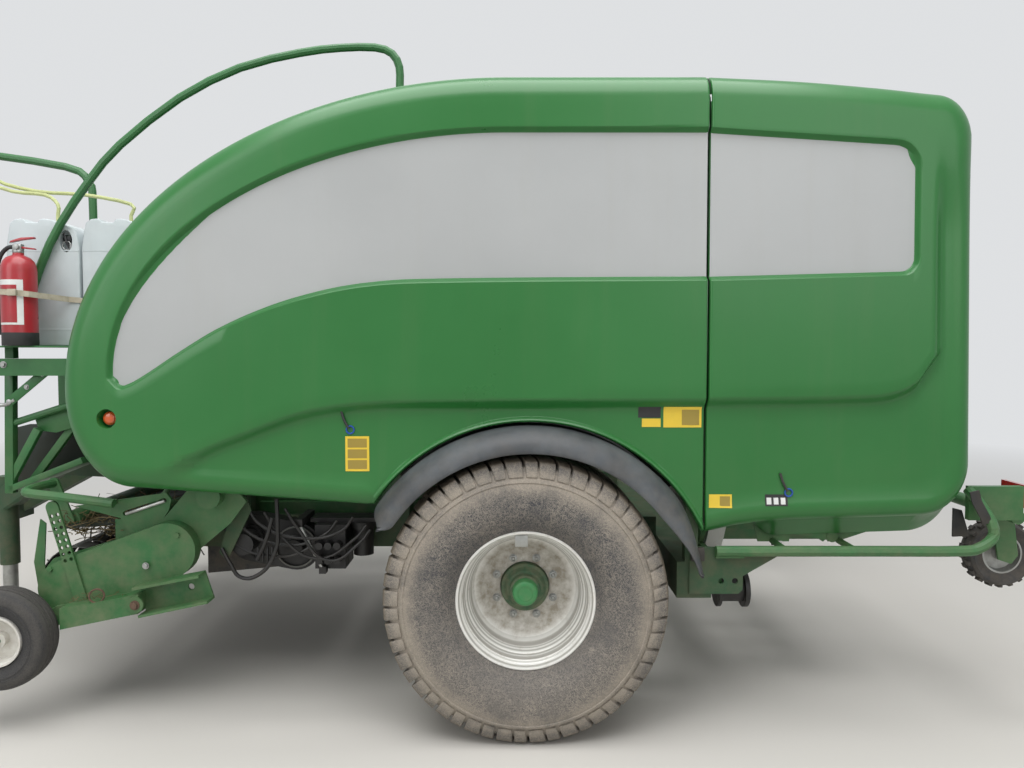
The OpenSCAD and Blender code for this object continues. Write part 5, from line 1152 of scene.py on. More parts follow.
def mudguard(side_name, side):
    middle = GUARD_FRONT - GUARD_REAR - GUARD_TIP - GUARD_NOSE
    turns = ([GUARD_REAR + GUARD_TIP * t / 5 for t in range(5)]
             + [GUARD_REAR + GUARD_TIP + middle * t / 60 for t in range(61)]
             + [GUARD_FRONT - GUARD_NOSE + GUARD_NOSE * math.sin(math.pi / 2 * t / 10)
                for t in range(1, 11)])
    places = [on_arch(GUARD_MID_R + (radius - GUARD_MID_R) * guard_share(turn), side * y, turn)
              for radius, y in GUARD_SECTION for turn in turns]
    sheet = grid_of(f"mudguard {side_name}", places, len(turns), len(GUARD_SECTION))
    thick = sheet.modifiers.new("rubber thickness", "SOLIDIFY")
    thick.thickness = GUARD_T
    thick.offset = side
    edge = sheet.modifiers.new("rounded rim", "BEVEL")
    edge.width = 0.003
    edge.segments = 2
    edge.angle_limit = math.radians(60)
    apply_all(sheet)
    face_outward(sheet)
    return sheet


def arch_band(name, edges, thickness, offset):
    """A flat band bent round the arch, through its (radius, y) lines."""
    turns = [LINING_FROM + LINING_TURN * step / (LINING_STEPS - 1) for step in range(LINING_STEPS)]
    places = [on_arch(radius, y, turn) for radius, y in edges for turn in turns]
    return thickened(grid_of(name, places, LINING_STEPS, len(edges)), thickness, offset)


for side_name, side in SIDES.items():
    guard = mudguard(side_name, side)
    finish_piece(guard, guard_rubber, "chassis", angle=40)
    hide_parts("mudguards")
    lining = arch_band("lining", [(LINING_R, side * y) for y in LINING_YS], 0.005, side)
    # The wall's black is painted shade: it stands for the dark inside of the machine behind the
    # arch
    wall = arch_band("wall", [(radius, side * WALL_Y) for radius in WALL_RADII], 0.004, -1)
    stays = [box("stay", (0.152, side * 1.281, 0.986), (0.228, side * 1.2915, 1.028), 0.002),
             box("stay", (0.172, side * 1.2915, 1.002), (0.208, side * 0.756, 1.028), 0.002),
             box("stay", (1.494, side * 1.2915, 0.772), (1.550, side * 1.2625, 0.828), 0.002)]
    lining = joined(f"mudguard lining {side_name}", [lining, wall] + stays)
    finish_piece(lining, black_rubber, "chassis", angle=40)
    print(guard.name, [round(v, 3) for v in guard.dimensions])

# %% [markdown]
# Flat things such as labels, belts and rubber flaps are ribbons. A ribbon is a grid two vertices
# wide that follows a line of points, with a real thickness. Labels on a door are small grids that
# take their depth from the door's own shape, so they follow its bulge. Each label is a blank field
# of one colour.

# %% Labels, cords and latches
# A label lies this far off the door, in millimetres, and a field on a label lies higher
LABEL_T, LABEL_STEP, LABEL_LIFT, FIELD_LIFT = 0.6, 16, 0.9, 1.7


def ribbon(name, points, across, thickness):
    """A band along points. Across is the vector from one edge to the other, in metres."""
    half = Vector(across) / 2
    places = [Vector(p) - half for p in points] + [Vector(p) + half for p in points]
    return thickened(grid_of(name, places, len(points), 2), thickness)


def label(side, name, kind, low, high, material, lift=LABEL_LIFT, depth=None):
    """A label between two corners (x, z) in millimetres, on a door or at a fixed depth."""
    columns, rows = ([a] + spaced(a, b, max(1, round((b - a) / LABEL_STEP)))
                     for a, b in zip(low, high))

    def place(flat):
        behind = skin_depth(kind, flat) if depth is None else np.full(len(flat), depth)
        return on_door(kind, side, flat, behind - lift - LABEL_T / 2)

    film = laid_grid(f"{name} {'left' if side < 0 else 'right'}", columns, lambda x: rows, place)
    return finish_piece(thickened(film, LABEL_T * MM), material,
                        f"{kind}_door_{'l' if side < 0 else 'r'}")


def ring_of_cord(name, centre, major, minor, material, body, turn=(math.pi / 2, 0, 0)):
    deselect()
    bpy.ops.mesh.primitive_torus_add(major_radius=major, minor_radius=minor, major_segments=32,
                                     minor_segments=10, location=centre, rotation=turn)
    cord = bpy.context.object
    cord.name = name
    return finish_piece(cord, material, body)


joint_line = weathered("shadow of a sheet joint", "#77797a", "#828485", fade=0.4, dirt=0.1,
                       rough=(0.5, 0.6))
field_ochre = weathered("ochre field on a label", "#9b8637", "#8a7a3c", fade=0.4, dirt=0.2)
# Name, door, lower and upper corner, finish, then the lift and depth where they differ
LABELS = [
    ("yellow label by the mudguard", "front", (10, 1162), (112, 1312), label_yellow),
    *((f"pale field {row} by the mudguard", "front", (20, 1172 + 46 * row), (102, 1210 + 46 * row),
       field_ochre, FIELD_LIFT) for row in range(3)),
    ("yellow label at the seam", "front", (1368, 1350), (1530, 1438), label_yellow),
    ("field at the seam", "front", (1446, 1360), (1520, 1428), field_ochre, FIELD_LIFT),
    ("black label at the seam", "front", (1260, 1392), (1356, 1438), label_black),
    ("small yellow label at the seam", "front", (1276, 1352), (1356, 1388), label_yellow),
    ("yellow label of the rear door", "rear", (1566, 1004), (1664, 1062), label_yellow),
    ("field of the rear door", "rear", (1612, 1012), (1656, 1054), field_ochre, FIELD_LIFT),
    ("black label of the rear door", "rear", (1806, 1013), (1902, 1062), label_black),
    *((f"white field {spot}", "rear", (spot, 1020), (spot + 20, 1048), label_white, FIELD_LIFT)
      for spot in (1812, 1842, 1872)),
    ("white label in the tip", "front", (-921, 1612), (-868, 1732), label_white, LABEL_LIFT,
     PIT - PANEL_LIFT),
    ("sheet joint", "front", (14, 1860), (17, 2564), joint_line, LABEL_LIFT, PIT - PANEL_LIFT),
]
for side_name, side in SIDES.items():
    for row in LABELS:
        label(side, *row)
    for kind, x, z in (("front", 10, 1382), ("rear", 1884, 1112)):
        body = f"{kind}_door_{side_name[0]}"
        behind = float(skin_depth(kind, np.array([(float(x), float(z))]))[0])
        front_y = side * (PANEL_Y - behind) * MM
        rod = pipe(f"latch lever {kind} {side_name}",
                   [((x - 16) * MM, front_y + side * 0.006, (z + 42) * MM),
                    ((x - 4) * MM, front_y + side * 0.008, (z + 4) * MM),
                    ((x + 16) * MM, front_y + side * 0.006, (z - 36) * MM)], 0.0055, 10)
        finish_piece(rod, black_enamel, body)
        cord_place = ((x + 22) * MM, front_y + side * 0.004, (z - 42) * MM)
        ring_of_cord(f"latch cord {kind} {side_name}", cord_place, 0.016, 0.0034, blue_cord_dye,
                     body)
    catch = box(f"seam catch {side_name}", (1.5315, side * 1.262, 1.070),
                (1.5425, side * 1.276, 1.110), 0.002)
    finish_piece(catch, label_yellow, f"front_door_{side_name[0]}")
print(len(LABELS), "labels a side")

# %% [markdown]
# The drives under the front door are black with oil and dirt, and their finish is darker still as
# painted shade under the door. A bundle of hoses hangs below the frame there. Two hoses follow
# given points, and the others sag between their ends. A seeded generator gives each of them its own
# sag, so every run gives the same hoses.

# %% Hoses under the front doors
CLUTCH_RING = [(0.094, 0.0), (0.101, 0.001), (0.103, 0.008), (0.101, 0.015), (0.094, 0.016)]
random.seed(7)
hose_black = weathered("black hydraulic hose", "#131416", "#232322", fade=0.7, dirt=0.4,
                       rough=(0.3, 0.5), patch=20.0, dirt_colour="#4a4136")
for side_name, side in SIDES.items():
    runs = [[(-0.370, 0.990), (-0.366, 0.860), (-0.374, 0.760), (-0.449, 0.641), (-0.540, 0.622),
             (-0.589, 0.690), (-0.628, 0.760)],
            [(-0.395, 0.900), (-0.430, 0.780), (-0.470, 0.700)]]
    for start, end in (((-0.60, 0.93), (-0.10, 0.88)), ((-0.52, 0.96), (-0.02, 0.90)),
                       ((-0.44, 0.92), (0.04, 0.86)), ((-0.64, 0.86), (-0.20, 0.80)),
                       ((-0.34, 0.94), (0.06, 0.84))):
        low_point = min(start[1], end[1]) - random.uniform(0.08, 0.20)
        runs.append([start, (start[0] + 0.06, start[1] - 0.09),
                     ((start[0] + end[0]) / 2, low_point), (end[0] - 0.05, end[1] - 0.06), end])
    hoses = []
    for number, run in enumerate(runs):
        y = side * (1.020 - 0.012 * (number % 3) - (0 if number < 2 else 0.024))
        points = [(x, y + side * 0.004 * (k % 2), z) for k, (x, z) in enumerate(run)]
        hoses.append(pipe("hose", points, 0.0095 if number < 2 else 0.0075, 12))
    hoses = joined(f"hoses under the front door {side_name}", hoses)
    finish_piece(hoses, hose_black, "chassis")
    collar = lathe(f"clutch ring {side_name}", CLUTCH_RING, (-0.330, side * 0.8406, 0.722),
                   axis=(0, side, 0), steps=64)
    finish_piece(collar, roller_steel, "chassis")
    ribs = [box("rib", (-0.470 + 0.022 * k, side * 0.9905, 0.690),
                (-0.462 + 0.022 * k, side * 1.004, 0.760), 0.001)
            for k in range(4)]
    finish_piece(joined(f"cooling ribs {side_name}", ribs), oily_black_and_shade, "chassis")
    bright_rod = pipe(f"valve rod {side_name}",
                      [(-0.283, side * 0.976, 0.873), (-0.168, side * 0.976, 0.644)],
                      0.0085, 16, smooth=False)
    finish_piece(bright_rod, zinc, "chassis")
    print(hoses.name, len(runs), "hoses")

# %% [markdown]
# Bolt heads sit where plates are screwed together. Each is a six-sided head on a round washer,
# and the heads of one plate become one piece.

# %% Bolts
def bolts(name, body, places, radius, side, material=zinc):
    heads = []
    for x, y, z in places:
        heads += [cylinder("washer", radius * 1.35, 0.003, (x, side * (y + 0.0015), z), "Y", 20),
                  cylinder("head", radius, radius * 0.75,
                           (x, side * (y + 0.003 + radius * 0.37), z), "Y", 6, 0.0008, 1)]
    return finish_piece(joined(name, heads), material, body, angle=30)


for side_name, side in SIDES.items():
    bolts(f"platform bolts {side_name}", "chassis",
          [(-1.685, 0.975, 1.612), (-1.648, 0.975, 1.612)], 0.012, side)
    bolts(f"drive case nut {side_name}", "pickup", [(-0.930, 1.130, 0.708)], 0.0115, side)
    bolts(f"arm pivot nut {side_name}", "pickup", [(-0.945, 1.208, 0.553)], 0.016, side,
          rusty_steel)
    ring_of_cord(f"linch pin ring {side_name}", (-1.121, side * 1.192, 0.590), 0.030, 0.0042,
                 rusty_steel, "pickup", turn=(math.pi / 2, 0.4, 0.35))
    slot_rod = pipe(f"slot plate rod {side_name}",
                    [(-1.048, side * 1.064, 0.929), (-0.868, side * 1.064, 0.989)],
                    0.0075, 12, smooth=False)
    finish_piece(slot_rod, zinc, "pickup")
    print("bolts and linch pin", side_name)

# %% [markdown]
# Cut grass hangs on the press roller and in the pick-up. It's a cloud of thin bent stalks, each a
# three-sided tube. One stalk is repeated with an array, then every copy gets its own place, bend
# and length from a seeded generator.

# %% Stalks of dry grass
dry_grass = weathered("dry grass", "#6f6140", "#4f4429", fade=0.9, dirt=0.2, rough=(0.7, 0.9),
                      patch=30.0)


def stalks(name, body, count, low, high, length, seed, lean_down=0.3, radius=0.001):
    draw = np.random.default_rng(seed)
    deselect()
    bpy.ops.mesh.primitive_cylinder_add(vertices=3, radius=radius, depth=1, end_fill_type="TRIFAN")
    stalk = bpy.context.object
    bpy.ops.object.mode_set(mode="EDIT")
    bpy.ops.mesh.select_all(action="SELECT")
    bpy.ops.mesh.subdivide(number_cuts=2)
    bpy.ops.object.mode_set(mode="OBJECT")
    shape = np.array([v.co[:] for v in stalk.data.vertices])
    row = stalk.modifiers.new("many", "ARRAY")
    row.count = count
    row.use_relative_offset = False
    row.use_constant_offset = True
    row.constant_offset_displace = (0.01, 0, 0)
    apply_all(stalk)
    places = []
    for _ in range(count):
        size = length * draw.uniform(0.5, 1.2)
        start = draw.uniform(low, high)
        way = draw.normal(size=3)
        way[2] = way[2] * 0.5 - lean_down
        way /= np.linalg.norm(way)
        aside = np.cross(way, draw.normal(size=3))
        aside /= np.linalg.norm(aside)
        third = np.cross(way, aside)
        t = shape[:, 2:3]
        bend = aside * (0.25 * size * (t ** 2))
        middle_line = start + way * t * size + bend
        places.append(middle_line + aside * shape[:, 0:1] + third * shape[:, 1:2])
    stalk.data.vertices.foreach_set("co", np.concatenate(places).ravel())
    stalk.data.update()
    stalk.name = name
    return finish_piece(stalk, dry_grass, body, angle=0)


stalks("grass at the press roller", "pickup", 170, (-1.45, -1.00, 0.80), (-1.18, 0.90, 0.92),
       0.10, 3)
for side_name, side in SIDES.items():
    inner, outer = sorted((side * 1.015, side * 0.45))
    stalks(f"packed grass {side_name}", "pickup", 330, (-1.43, inner, 0.800),
           (-1.06, outer, 0.890), 0.13, 11 + side, lean_down=0.0, radius=0.0022)
stalks("grass on the gauge arm left", "pickup", 46, (-1.24, -1.200, 0.562), (-0.96, -1.130, 0.592),
       0.035, 5)
stalks("grass on the gauge arm right", "pickup", 46, (-1.24, 1.130, 0.562), (-0.96, 1.200, 0.592),
       0.035, 6)
stalks("grass in the front of the frame", "chassis", 60, (-0.86, -0.98, 0.93),
       (-0.62, -0.70, 0.98), 0.09, 9)
print(sum("grass" in item.name for item in bpy.data.objects), "tufts of grass")

# %% [markdown]
# The gauge wheels run free in front of the main wheels. Their tyres are narrow, with four ribs and
# three grooves round the tread.

# %% Gauge tyres
RIBBED = [(0.2185, 0.0), (0.2185, 0.0040), (0.2228, 0.0058), (0.2226, 0.0215), (0.2180, 0.0230),
          (0.2178, 0.0280), (0.2214, 0.0298), (0.2190, 0.0440), (0.2140, 0.0560), (0.2040, 0.0655),
          (0.1900, 0.0710), (0.1720, 0.0724), (0.1700, 0.0700), (0.1640, 0.0700), (0.1620, 0.0712),
          (0.1480, 0.0670), (0.1380, 0.0600), (0.1280, 0.0540), (0.1180, 0.0520), (0.1135, 0.0470)]
for side_name, side in SIDES.items():
    centre = (GAUGE_CENTRE[0], side * GAUGE_CENTRE[1], GAUGE_CENTRE[2])
    ribbed = lathe(f"gauge tyre {side_name}", mirrored(RIBBED), centre, steps=96)
    finish_piece(ribbed, gauge_tyre_rubber, f"gauge_wheel_{side_name}", angle=30)
    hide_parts(f"gauge_tyre_{side_name}")
    print(ribbed.name, len(ribbed.data.polygons), "faces")

# %% [markdown]
# At the front, two moulded canisters of additive stand on the platform behind a fire
# extinguisher. A canister is a flat outline extruded to its depth, with generous round edges, a
# mould seam round it and a tap in an oval recess.

# %% Canisters
DECK_Z, CANISTER_Y, CANISTER_X0, CANISTER_W, CANISTER_DEEP = 1.7003, -0.720, -1.700, 0.350, 0.268
TAP_X, TAP_Z = 0.288, 0.500
CANISTER_OUTLINE = [(0.006, 0.0), (0.344, 0.0), (0.350, 0.030), (0.350, 0.470), (0.338, 0.540),
                    (0.318, 0.566), (0.215, 0.604), (0.176, 0.6085), (0.160, 0.602),
                    (0.154, 0.590), (0.098, 0.590), (0.092, 0.602), (0.080, 0.6085),
                    (0.046, 0.606), (0.020, 0.588), (0.004, 0.500), (0.0, 0.470), (0.0, 0.030)]
canister_grey = weathered("grey polyethylene canister", "#b7c0c3", "#c6cdcf", fade=0.6, dirt=0.30,
                          dirt_top=2.6, dirt_floor=0.12, rough=(0.38, 0.52), patch=6.0,
                          streak=0.14, dirt_colour="#8a8474")
strap_webbing = weathered("pale dirty webbing", "#b9b2a0", "#8f8876", fade=0.8, dirt=0.5,
                          dirt_top=4.0, rough=(0.75, 0.9), patch=25.0)


def extruded(name, outline, low_y, high_y, bevel, segments=2, angle=28):
    """A flat outline of (x, z) points, extruded along Y between two places."""
    deselect()
    bpy.ops.mesh.primitive_circle_add(vertices=len(outline), radius=1, fill_type="NGON")
    item = bpy.context.object
    item.name = name
    for vertex, (x, z) in zip(item.data.vertices, outline):
        vertex.co = (x, low_y, z)
    bpy.ops.object.mode_set(mode="EDIT")
    bpy.ops.mesh.select_all(action="SELECT")
    bpy.ops.mesh.extrude_region_move(TRANSFORM_OT_translate={"value": (0, high_y - low_y, 0)})
    bpy.ops.object.mode_set(mode="OBJECT")
    face_outward(item)
    return bevelled(item, bevel, segments, angle)


canisters = []
front_face = CANISTER_Y - CANISTER_DEEP / 2
back_face = front_face + CANISTER_DEEP
CANISTER_STARTS = (CANISTER_X0, CANISTER_X0 + CANISTER_W + 0.012)
for x0 in CANISTER_STARTS:
    outline = [(x0 + x, DECK_Z + z) for x, z in CANISTER_OUTLINE]
    body = extruded("canister", outline, front_face, back_face, 0.020, 4)
    oval = cylinder("recess", 0.030, 0.060, (x0 + TAP_X, front_face, DECK_Z + TAP_Z), "Y", 40)
    oval.scale.y = 1.75
    cut_away(body, oval)
    canisters.append(body)
    for z in (0.452, 0.076):
        canisters.append(box("mould seam", (x0 + 0.001, front_face - 0.0012, DECK_Z + z),
                             (x0 + CANISTER_W - 0.001, back_face + 0.0012, DECK_Z + z + 0.005),
                             0.0012))
    canisters.append(cylinder("neck", 0.030, 0.040, (x0 + 0.175, CANISTER_Y, DECK_Z + 0.5895), "Z",
                              40, 0.003))
canisters = joined("canisters", canisters)
finish_piece(canisters, canister_grey, "chassis", angle=32)
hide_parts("canisters")
for number, x0 in enumerate(CANISTER_STARTS):
    tap_x, tap_z = x0 + TAP_X, DECK_Z + TAP_Z
    tap = joined(f"canister tap {number}", [
        lathe("tap", [(0.0, 0.0), (0.020, 0.0), (0.021, 0.004), (0.019, 0.020), (0.012, 0.024),
                      (0.0, 0.024)],
              (tap_x, front_face + 0.029, tap_z + 0.012), axis=(0, -1, 0), steps=32),
        pipe("tap lever", [(tap_x - 0.012, front_face + 0.004, tap_z + 0.038),
                           (tap_x, front_face, tap_z + 0.006),
                           (tap_x + 0.012, front_face + 0.004, tap_z - 0.034)], 0.005, 12)])
    finish_piece(tap, black_enamel, "chassis")
    ring_of_cord(f"tap ring {number}", (tap_x, front_face + 0.006, tap_z - 0.020), 0.020, 0.0026,
                 zinc, "chassis")
print(canisters.name, [round(v, 3) for v in canisters.dimensions])

# %% [markdown]
# The extinguisher is a turned bottle on a rubber foot. Its two levers are pressed sheet, extruded
# from their outlines, and its hose is a bent tube. The strap is a ribbon that follows the bottle
# and the canisters.

# %% Extinguisher and strap
EXT_X, EXT_Y = -1.560, -0.982
FOOT = (EXT_X, EXT_Y, DECK_Z)
SHELL = [(0.0, 0.002), (0.0700, 0.002), (0.0735, 0.006), (0.0740, 0.345), (0.0715, 0.366),
         (0.0640, 0.388), (0.0500, 0.405), (0.0320, 0.414), (0.0240, 0.418), (0.0225, 0.428),
         (0.0, 0.428)]
FOOT_BAND = [(0.0738, 0.0), (0.0748, 0.002), (0.0750, 0.056), (0.0744, 0.060), (0.0738, 0.060)]
LEVERS = [("upper lever", 0.010, 0.0015, [(-0.036, 0.474), (-0.028, 0.484), (0.020, 0.498),
                                          (0.078, 0.500), (0.078, 0.493), (0.020, 0.486)]),
          ("lower lever", 0.009, 0.0012, [(0.014, 0.458), (0.080, 0.448), (0.080, 0.442),
                                          (0.014, 0.448)])]
HOSE_LINE = [(-0.020, 0.0, 0.456), (-0.050, 0.0, 0.450), (-0.086, -0.006, 0.395),
             (-0.092, -0.010, 0.280), (-0.088, -0.012, 0.120), (-0.084, -0.012, 0.050)]


def above_foot(x, y, z):
    """A place given from the middle of the extinguisher's foot."""
    return EXT_X + x, EXT_Y + y, DECK_Z + z


shell = lathe("extinguisher", SHELL, FOOT, axis=(0, 0, 1), steps=64)
finish_piece(shell, red_enamel, "chassis")
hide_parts("extinguisher")
foot = lathe("extinguisher foot", FOOT_BAND, FOOT, axis=(0, 0, 1), steps=64)
finish_piece(foot, black_rubber, "chassis")
head = joined("extinguisher head", [
    cylinder("collar", 0.024, 0.014, above_foot(0.0, 0.0, 0.434), "Z", 32, 0.002),
    box("valve", above_foot(-0.020, -0.014, 0.440), above_foot(0.022, 0.014, 0.468), 0.004),
    cylinder("gauge", 0.012, 0.012, above_foot(0.004, -0.020, 0.453), "Y", 24, 0.001)])
finish_piece(head, zinc, "chassis")
levers = joined("extinguisher levers", [
    extruded(name, [(EXT_X + x, DECK_Z + z) for x, z in outline], EXT_Y - half, EXT_Y + half,
             bevel)
    for name, half, bevel, outline in LEVERS])
finish_piece(levers, red_enamel, "chassis")
hose = pipe("extinguisher hose", [above_foot(*point) for point in HOSE_LINE], 0.0095, 16)
finish_piece(hose, black_rubber, "chassis")


def bent_label(name, radius, low_turn, high_turn, low_z, high_z, material):
    """A label round the extinguisher, between two turns in degrees."""
    turns = [math.radians(low_turn + (high_turn - low_turn) * k / 16) for k in range(17)]
    points = [(EXT_X + radius * math.sin(t), EXT_Y - radius * math.cos(t), (low_z + high_z) / 2)
              for t in turns]
    return finish_piece(ribbon(name, points, (0, 0, high_z - low_z), 0.0005), material, "chassis")


bent_label("extinguisher label", 0.0745, -62, 44, DECK_Z + 0.095, DECK_Z + 0.300, label_white)
bent_label("extinguisher label field", 0.0752, -56, 24, DECK_Z + 0.105, DECK_Z + 0.276, red_enamel)
strap = ribbon("canister strap", [
    (-1.716, -0.930, 1.950), (-1.690, -0.955, 1.949), (-1.640, -1.034, 1.946),
    (-1.600, -1.056, 1.944), (-1.560, -1.0625, 1.942), (-1.520, -1.056, 1.939),
    (-1.484, -1.034, 1.935), (-1.440, -0.930, 1.928), (-1.400, -0.862, 1.922),
    (-1.350, -0.8575, 1.918), (-1.340, -0.8575, 1.916), (-1.010, -0.8575, 1.905)],
    (0, 0, 0.026), 0.003)
finish_piece(strap, strap_webbing, "chassis")
ratchet = box("strap ratchet", (-1.560, -1.074, 1.926), (-1.520, -1.063, 1.956), 0.003)
finish_piece(ratchet, strap_webbing, "chassis")
print(shell.name, [round(v, 3) for v in shell.dimensions])

# %% [markdown]
# At the rear, a rubber strap and a flap hang beside the tail guard. The guard is bolted to the
# corner bracket, and a small blank label of two colours sits between the bolts and the edge.

# %% Tail details
for side_name, side in SIDES.items():
    strap = ribbon(f"rubber strap {side_name}",
                   [(2.705, side * 1.285, 1.075), (2.716, side * 1.286, 1.030),
                                                 (2.752, side * 1.286, 0.965),
                    (2.764, side * 1.284, 0.935)],
                   (0.040, 0, 0.010), 0.006)
    finish_piece(strap, black_rubber, "chassis")
    flap = extruded(f"rubber flap {side_name}", [(2.690, 0.976), (2.730, 0.966), (2.766, 0.850),
                                                 (2.690, 0.846)],
                    side * 1.158, side * 1.148, 0.002)
    finish_piece(flap, black_rubber, "chassis")
    bolts(f"guard bolts {side_name}", "chassis", [(1.889, 1.116, 0.873), (1.980, 1.116, 0.873)],
          0.014, side)
    for part, low, high, material in (
            ("", (1.894, 1.1162), (1.944, 1.1170), label_white),
            (" field", (1.894, 1.1171), (1.914, 1.1176), label_black)):
        plate = box(f"small label{part} {side_name}", (low[0], side * low[1], 0.798),
                    (high[0], side * high[1], 0.818))
        finish_piece(plate, material, "chassis")
    print(strap.name, flap.name)

# %% [markdown]
# Below the platform's edge, flat bars and a tube brace the front frame. They're plain bought
# sections, so each is an extruded outline or a tube, with a bolt where two of them meet. A plain
# plate closes the view beside the drawbar's root, and a sheet lies under the press roller. Both are
# very dark as painted shade inside the machine.

# %% Braces under the platform
def bar(name, start, end, width, low_y, high_y, bevel=0.002):
    """A flat bar between two (x, z) points."""
    way = Vector((end[0] - start[0], end[1] - start[1])).normalized() * width / 2
    side_way = Vector((-way.y, way.x))
    corners = [Vector(start) + side_way, Vector(end) + side_way, Vector(end) - side_way,
               Vector(start) - side_way]
    return extruded(name, [tuple(c) for c in corners], low_y, high_y, bevel)


# Painted shade: this very dark enamel stands for the shade behind the front frame and below the
# roller
shade_dark_enamel = weathered("dark enamel with old grease", "#16241a", "#2c2a22", fade=0.8, dirt=0.5,
                       rough=(0.5, 0.8), patch=6.0, bump=0.08, dirt_colour="#3d352a")
for side_name, side in SIDES.items():
    brace = joined(f"front braces {side_name}", [
        bar("post", (-1.684, 1.600), (-1.700, 0.990), 0.040, side * 0.845, side * 0.885),
        bar("strut", (-1.470, 1.580), (-1.650, 1.432), 0.042, side * 0.939, side * 0.947),
        bar("diagonal", (-1.560, 1.300), (-1.705, 1.040), 0.036, side * 0.850, side * 0.880),
        bar("diagonal", (-1.380, 1.360), (-1.640, 1.020), 0.034, side * 0.800, side * 0.830),
        extruded("gusset", [(-1.590, 1.352), (-1.380, 1.404), (-1.372, 1.312), (-1.490, 1.280),
                            (-1.572, 1.290)], side * 0.838, side * 0.846, 0.002),
        pipe("tube", [(-1.700, side * 0.864, 1.322), (-1.380, side * 0.864, 1.424)], 0.017, 16,
             smooth=False),
        bar("foot", (-1.700, 1.010), (-1.345, 1.150), 0.030, side * 0.640, side * 0.885)])
    finish_piece(brace, green_enamel, "chassis")
    cheek = extruded(f"front cheek {side_name}", [(-1.854, 1.273), (-1.730, 1.304),
                                                  (-1.496, 1.304), (-1.419, 1.120),
                                                  (-1.661, 1.048), (-1.841, 0.986)],
                     side * 0.655, side * 0.661, 0.001)
    finish_piece(cheek, shade_dark_enamel, "chassis")
    lever = joined(f"valve lever {side_name}", [
        pipe("lever", [(-1.700, side * 0.938, 1.420), (-1.660, side * 0.940, 1.424),
                       (-1.620, side * 0.943, 1.446)],
             0.009, 12),
        cylinder("pin", 0.013, 0.014, (-1.645, side * 0.945, 1.436), "Y", 24, 0.002)])
    finish_piece(lever, zinc, "chassis")
    cap = cylinder(f"lever cap {side_name}", 0.014, 0.030, (-1.712, side * 0.938, 1.420), "X", 24,
                   0.004)
    finish_piece(cap, red_enamel, "chassis")
    bolts(f"brace bolts {side_name}", "chassis", [(-1.484, 0.947, 1.568), (-1.560, 0.947, 1.506)],
          0.009, side)
crop_sheet = extruded("crop sheet below the press roller", [(-1.430, 0.838), (-1.060, 0.868),
                                                            (-1.060, 0.873), (-1.430, 0.843)],
                      -0.980, 0.980, 0.0)
finish_piece(crop_sheet, shade_dark_enamel, "pickup")
print(brace.name, [round(v, 3) for v in brace.dimensions])

# %% [markdown]
# The camera stands on the left, a little behind the machine's middle and at eye height. The
# picture has straight verticals, so the camera is tilted down only a little. The light is that of
# an overcast day: a very large soft lamp overhead, weaker ones from the front left and the rear
# left, and a dim pale world. Surfaces that look up are bright and those that look down are dark.
# The backdrop is bright only for rays that come from the camera or are mirrored or pass through
# glass, so it never bleaches the paint.

# %% Camera, floor and light
CAMERA_PLACE = (0.722, -4.560, 1.680)
CAMERA_PITCH, LENS_MM = 2.53, 27.04
BACKDROP, BACKDROP_GLOW = "#eef0f2", 0.86

bpy.ops.object.camera_add(location=CAMERA_PLACE, rotation=(math.radians(90 - CAMERA_PITCH), 0, 0))
camera = bpy.context.object
camera.data.lens = LENS_MM
camera.data.sensor_width = 36.0
bpy.context.scene.camera = camera

scene = bpy.context.scene
scene.view_settings.view_transform = "Standard"
world = bpy.data.worlds.new("overcast")
scene.world = world
world.use_nodes = True
world.node_tree.nodes.clear()
sky = world.node_tree


def seen_directly(tree, kinds):
    """One for the rays of these kinds, zero for those that only carry light."""
    rays = add(tree, "ShaderNodeLightPath").node.outputs
    seen = rays[kinds[0]]
    for kind in kinds[1:]:
        seen = add(tree, MATH, {0: seen, 1: rays[kind]}, operation="MAXIMUM")
    return seen


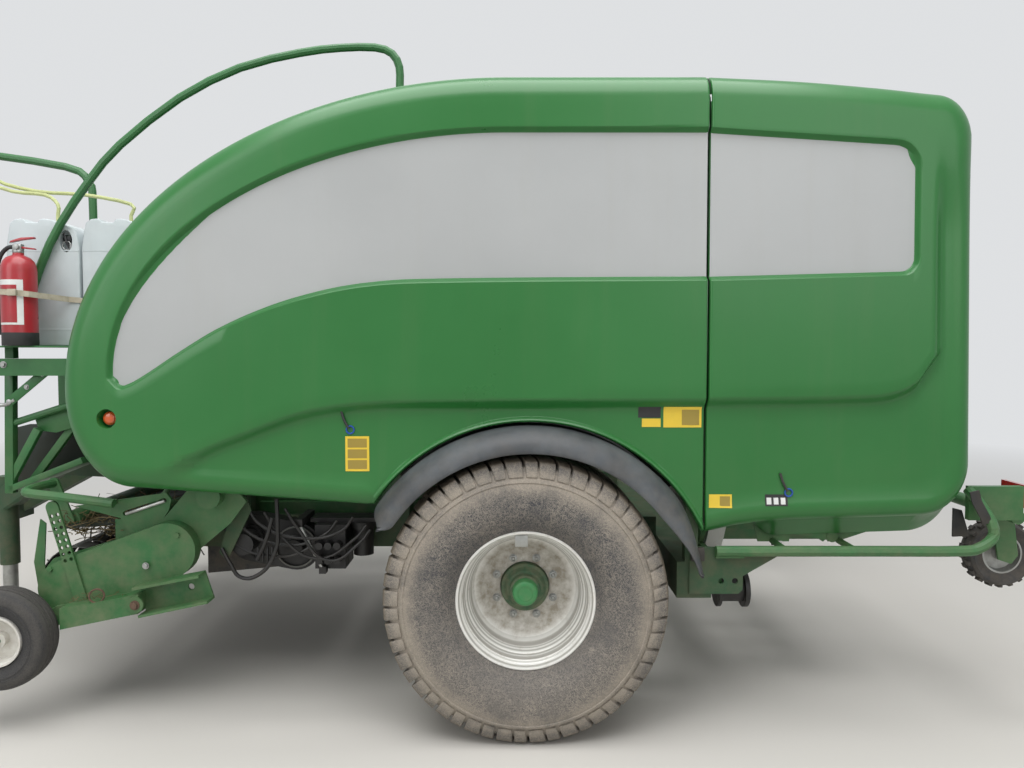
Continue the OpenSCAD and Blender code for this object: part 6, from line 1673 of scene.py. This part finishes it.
seen = seen_directly(sky, ("Is Camera Ray", "Is Glossy Ray", "Is Transmission Ray"))
strength = add(sky, RANGE, {0: seen, 1: 0.0, 2: 1.0, 3: 0.36, 4: BACKDROP_GLOW})
backdrop = add(sky, "ShaderNodeBackground", {"Color": colour(BACKDROP), "Strength": strength})
add(sky, "ShaderNodeOutputWorld", {"Surface": backdrop})


def lamp(name, place, aim, size, watts):
    bpy.ops.object.light_add(type="AREA", location=place)
    light = bpy.context.object
    light.name = name
    light.data.size = size
    light.data.energy = watts
    light.rotation_euler = (Vector(aim) - Vector(place)).to_track_quat("-Z", "Y").to_euler()
    return light


lamp("overcast sky", (0.3, -3.2, 9.0), (0.3, -0.6, 1.0), 9.0, 1080)
lamp("soft lamp from the front left", (-5.5, -7.5, 4.8), (0.0, -1.0, 1.3), 5.0, 190)
lamp("soft lamp from the rear left", (5.0, -8.5, 4.5), (1.2, -1.0, 1.3), 5.0, 110)
lamp("lamp behind", (-1.0, 8.5, 6.0), (0.0, 0, 1.5), 9.0, 170)

bpy.ops.mesh.primitive_plane_add(size=60, location=(0, 0, -0.002))
floor = bpy.context.object
floor.name = "floor"
floor_pale, ground, spot = new_surface("pale matt floor")
# Far from the machine the floor fades into the backdrop, so no horizon cuts the picture. Only
# rays from the camera and mirrored ones see the fade, so it sheds no light on the machine
reach = add(ground, "ShaderNodeVectorMath", {0: spot}, 1, operation="LENGTH")
near = add(ground, "ShaderNodeBsdfPrincipled", {"Base Color": colour("#c9c6c0"), "Roughness": 0.9})
far = add(ground, "ShaderNodeEmission", {"Color": colour(BACKDROP), "Strength": BACKDROP_GLOW})
seen = seen_directly(ground, ("Is Camera Ray", "Is Glossy Ray"))
faded = add(ground, RANGE, {0: reach, 1: 3.5, 2: 13.0})
fade = add(ground, MATH, {0: faded, 1: seen}, **PRODUCT)
mix = add(ground, "ShaderNodeMixShader", {0: fade, 1: near, 2: far})
add(ground, "ShaderNodeOutputMaterial", {"Surface": mix})
floor.data.materials.append(floor_pale)
floor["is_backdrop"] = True
print("lens", LENS_MM, "mm, camera at", CAMERA_PLACE)

# %% [markdown]
# The last cell gives the size of the imported model and of the finished one, so both can be
# compared.

# %% Size of the finished model
low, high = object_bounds()
{"packed": [list(cad_low), list(cad_high)], "finished": [list(low), list(high)]}
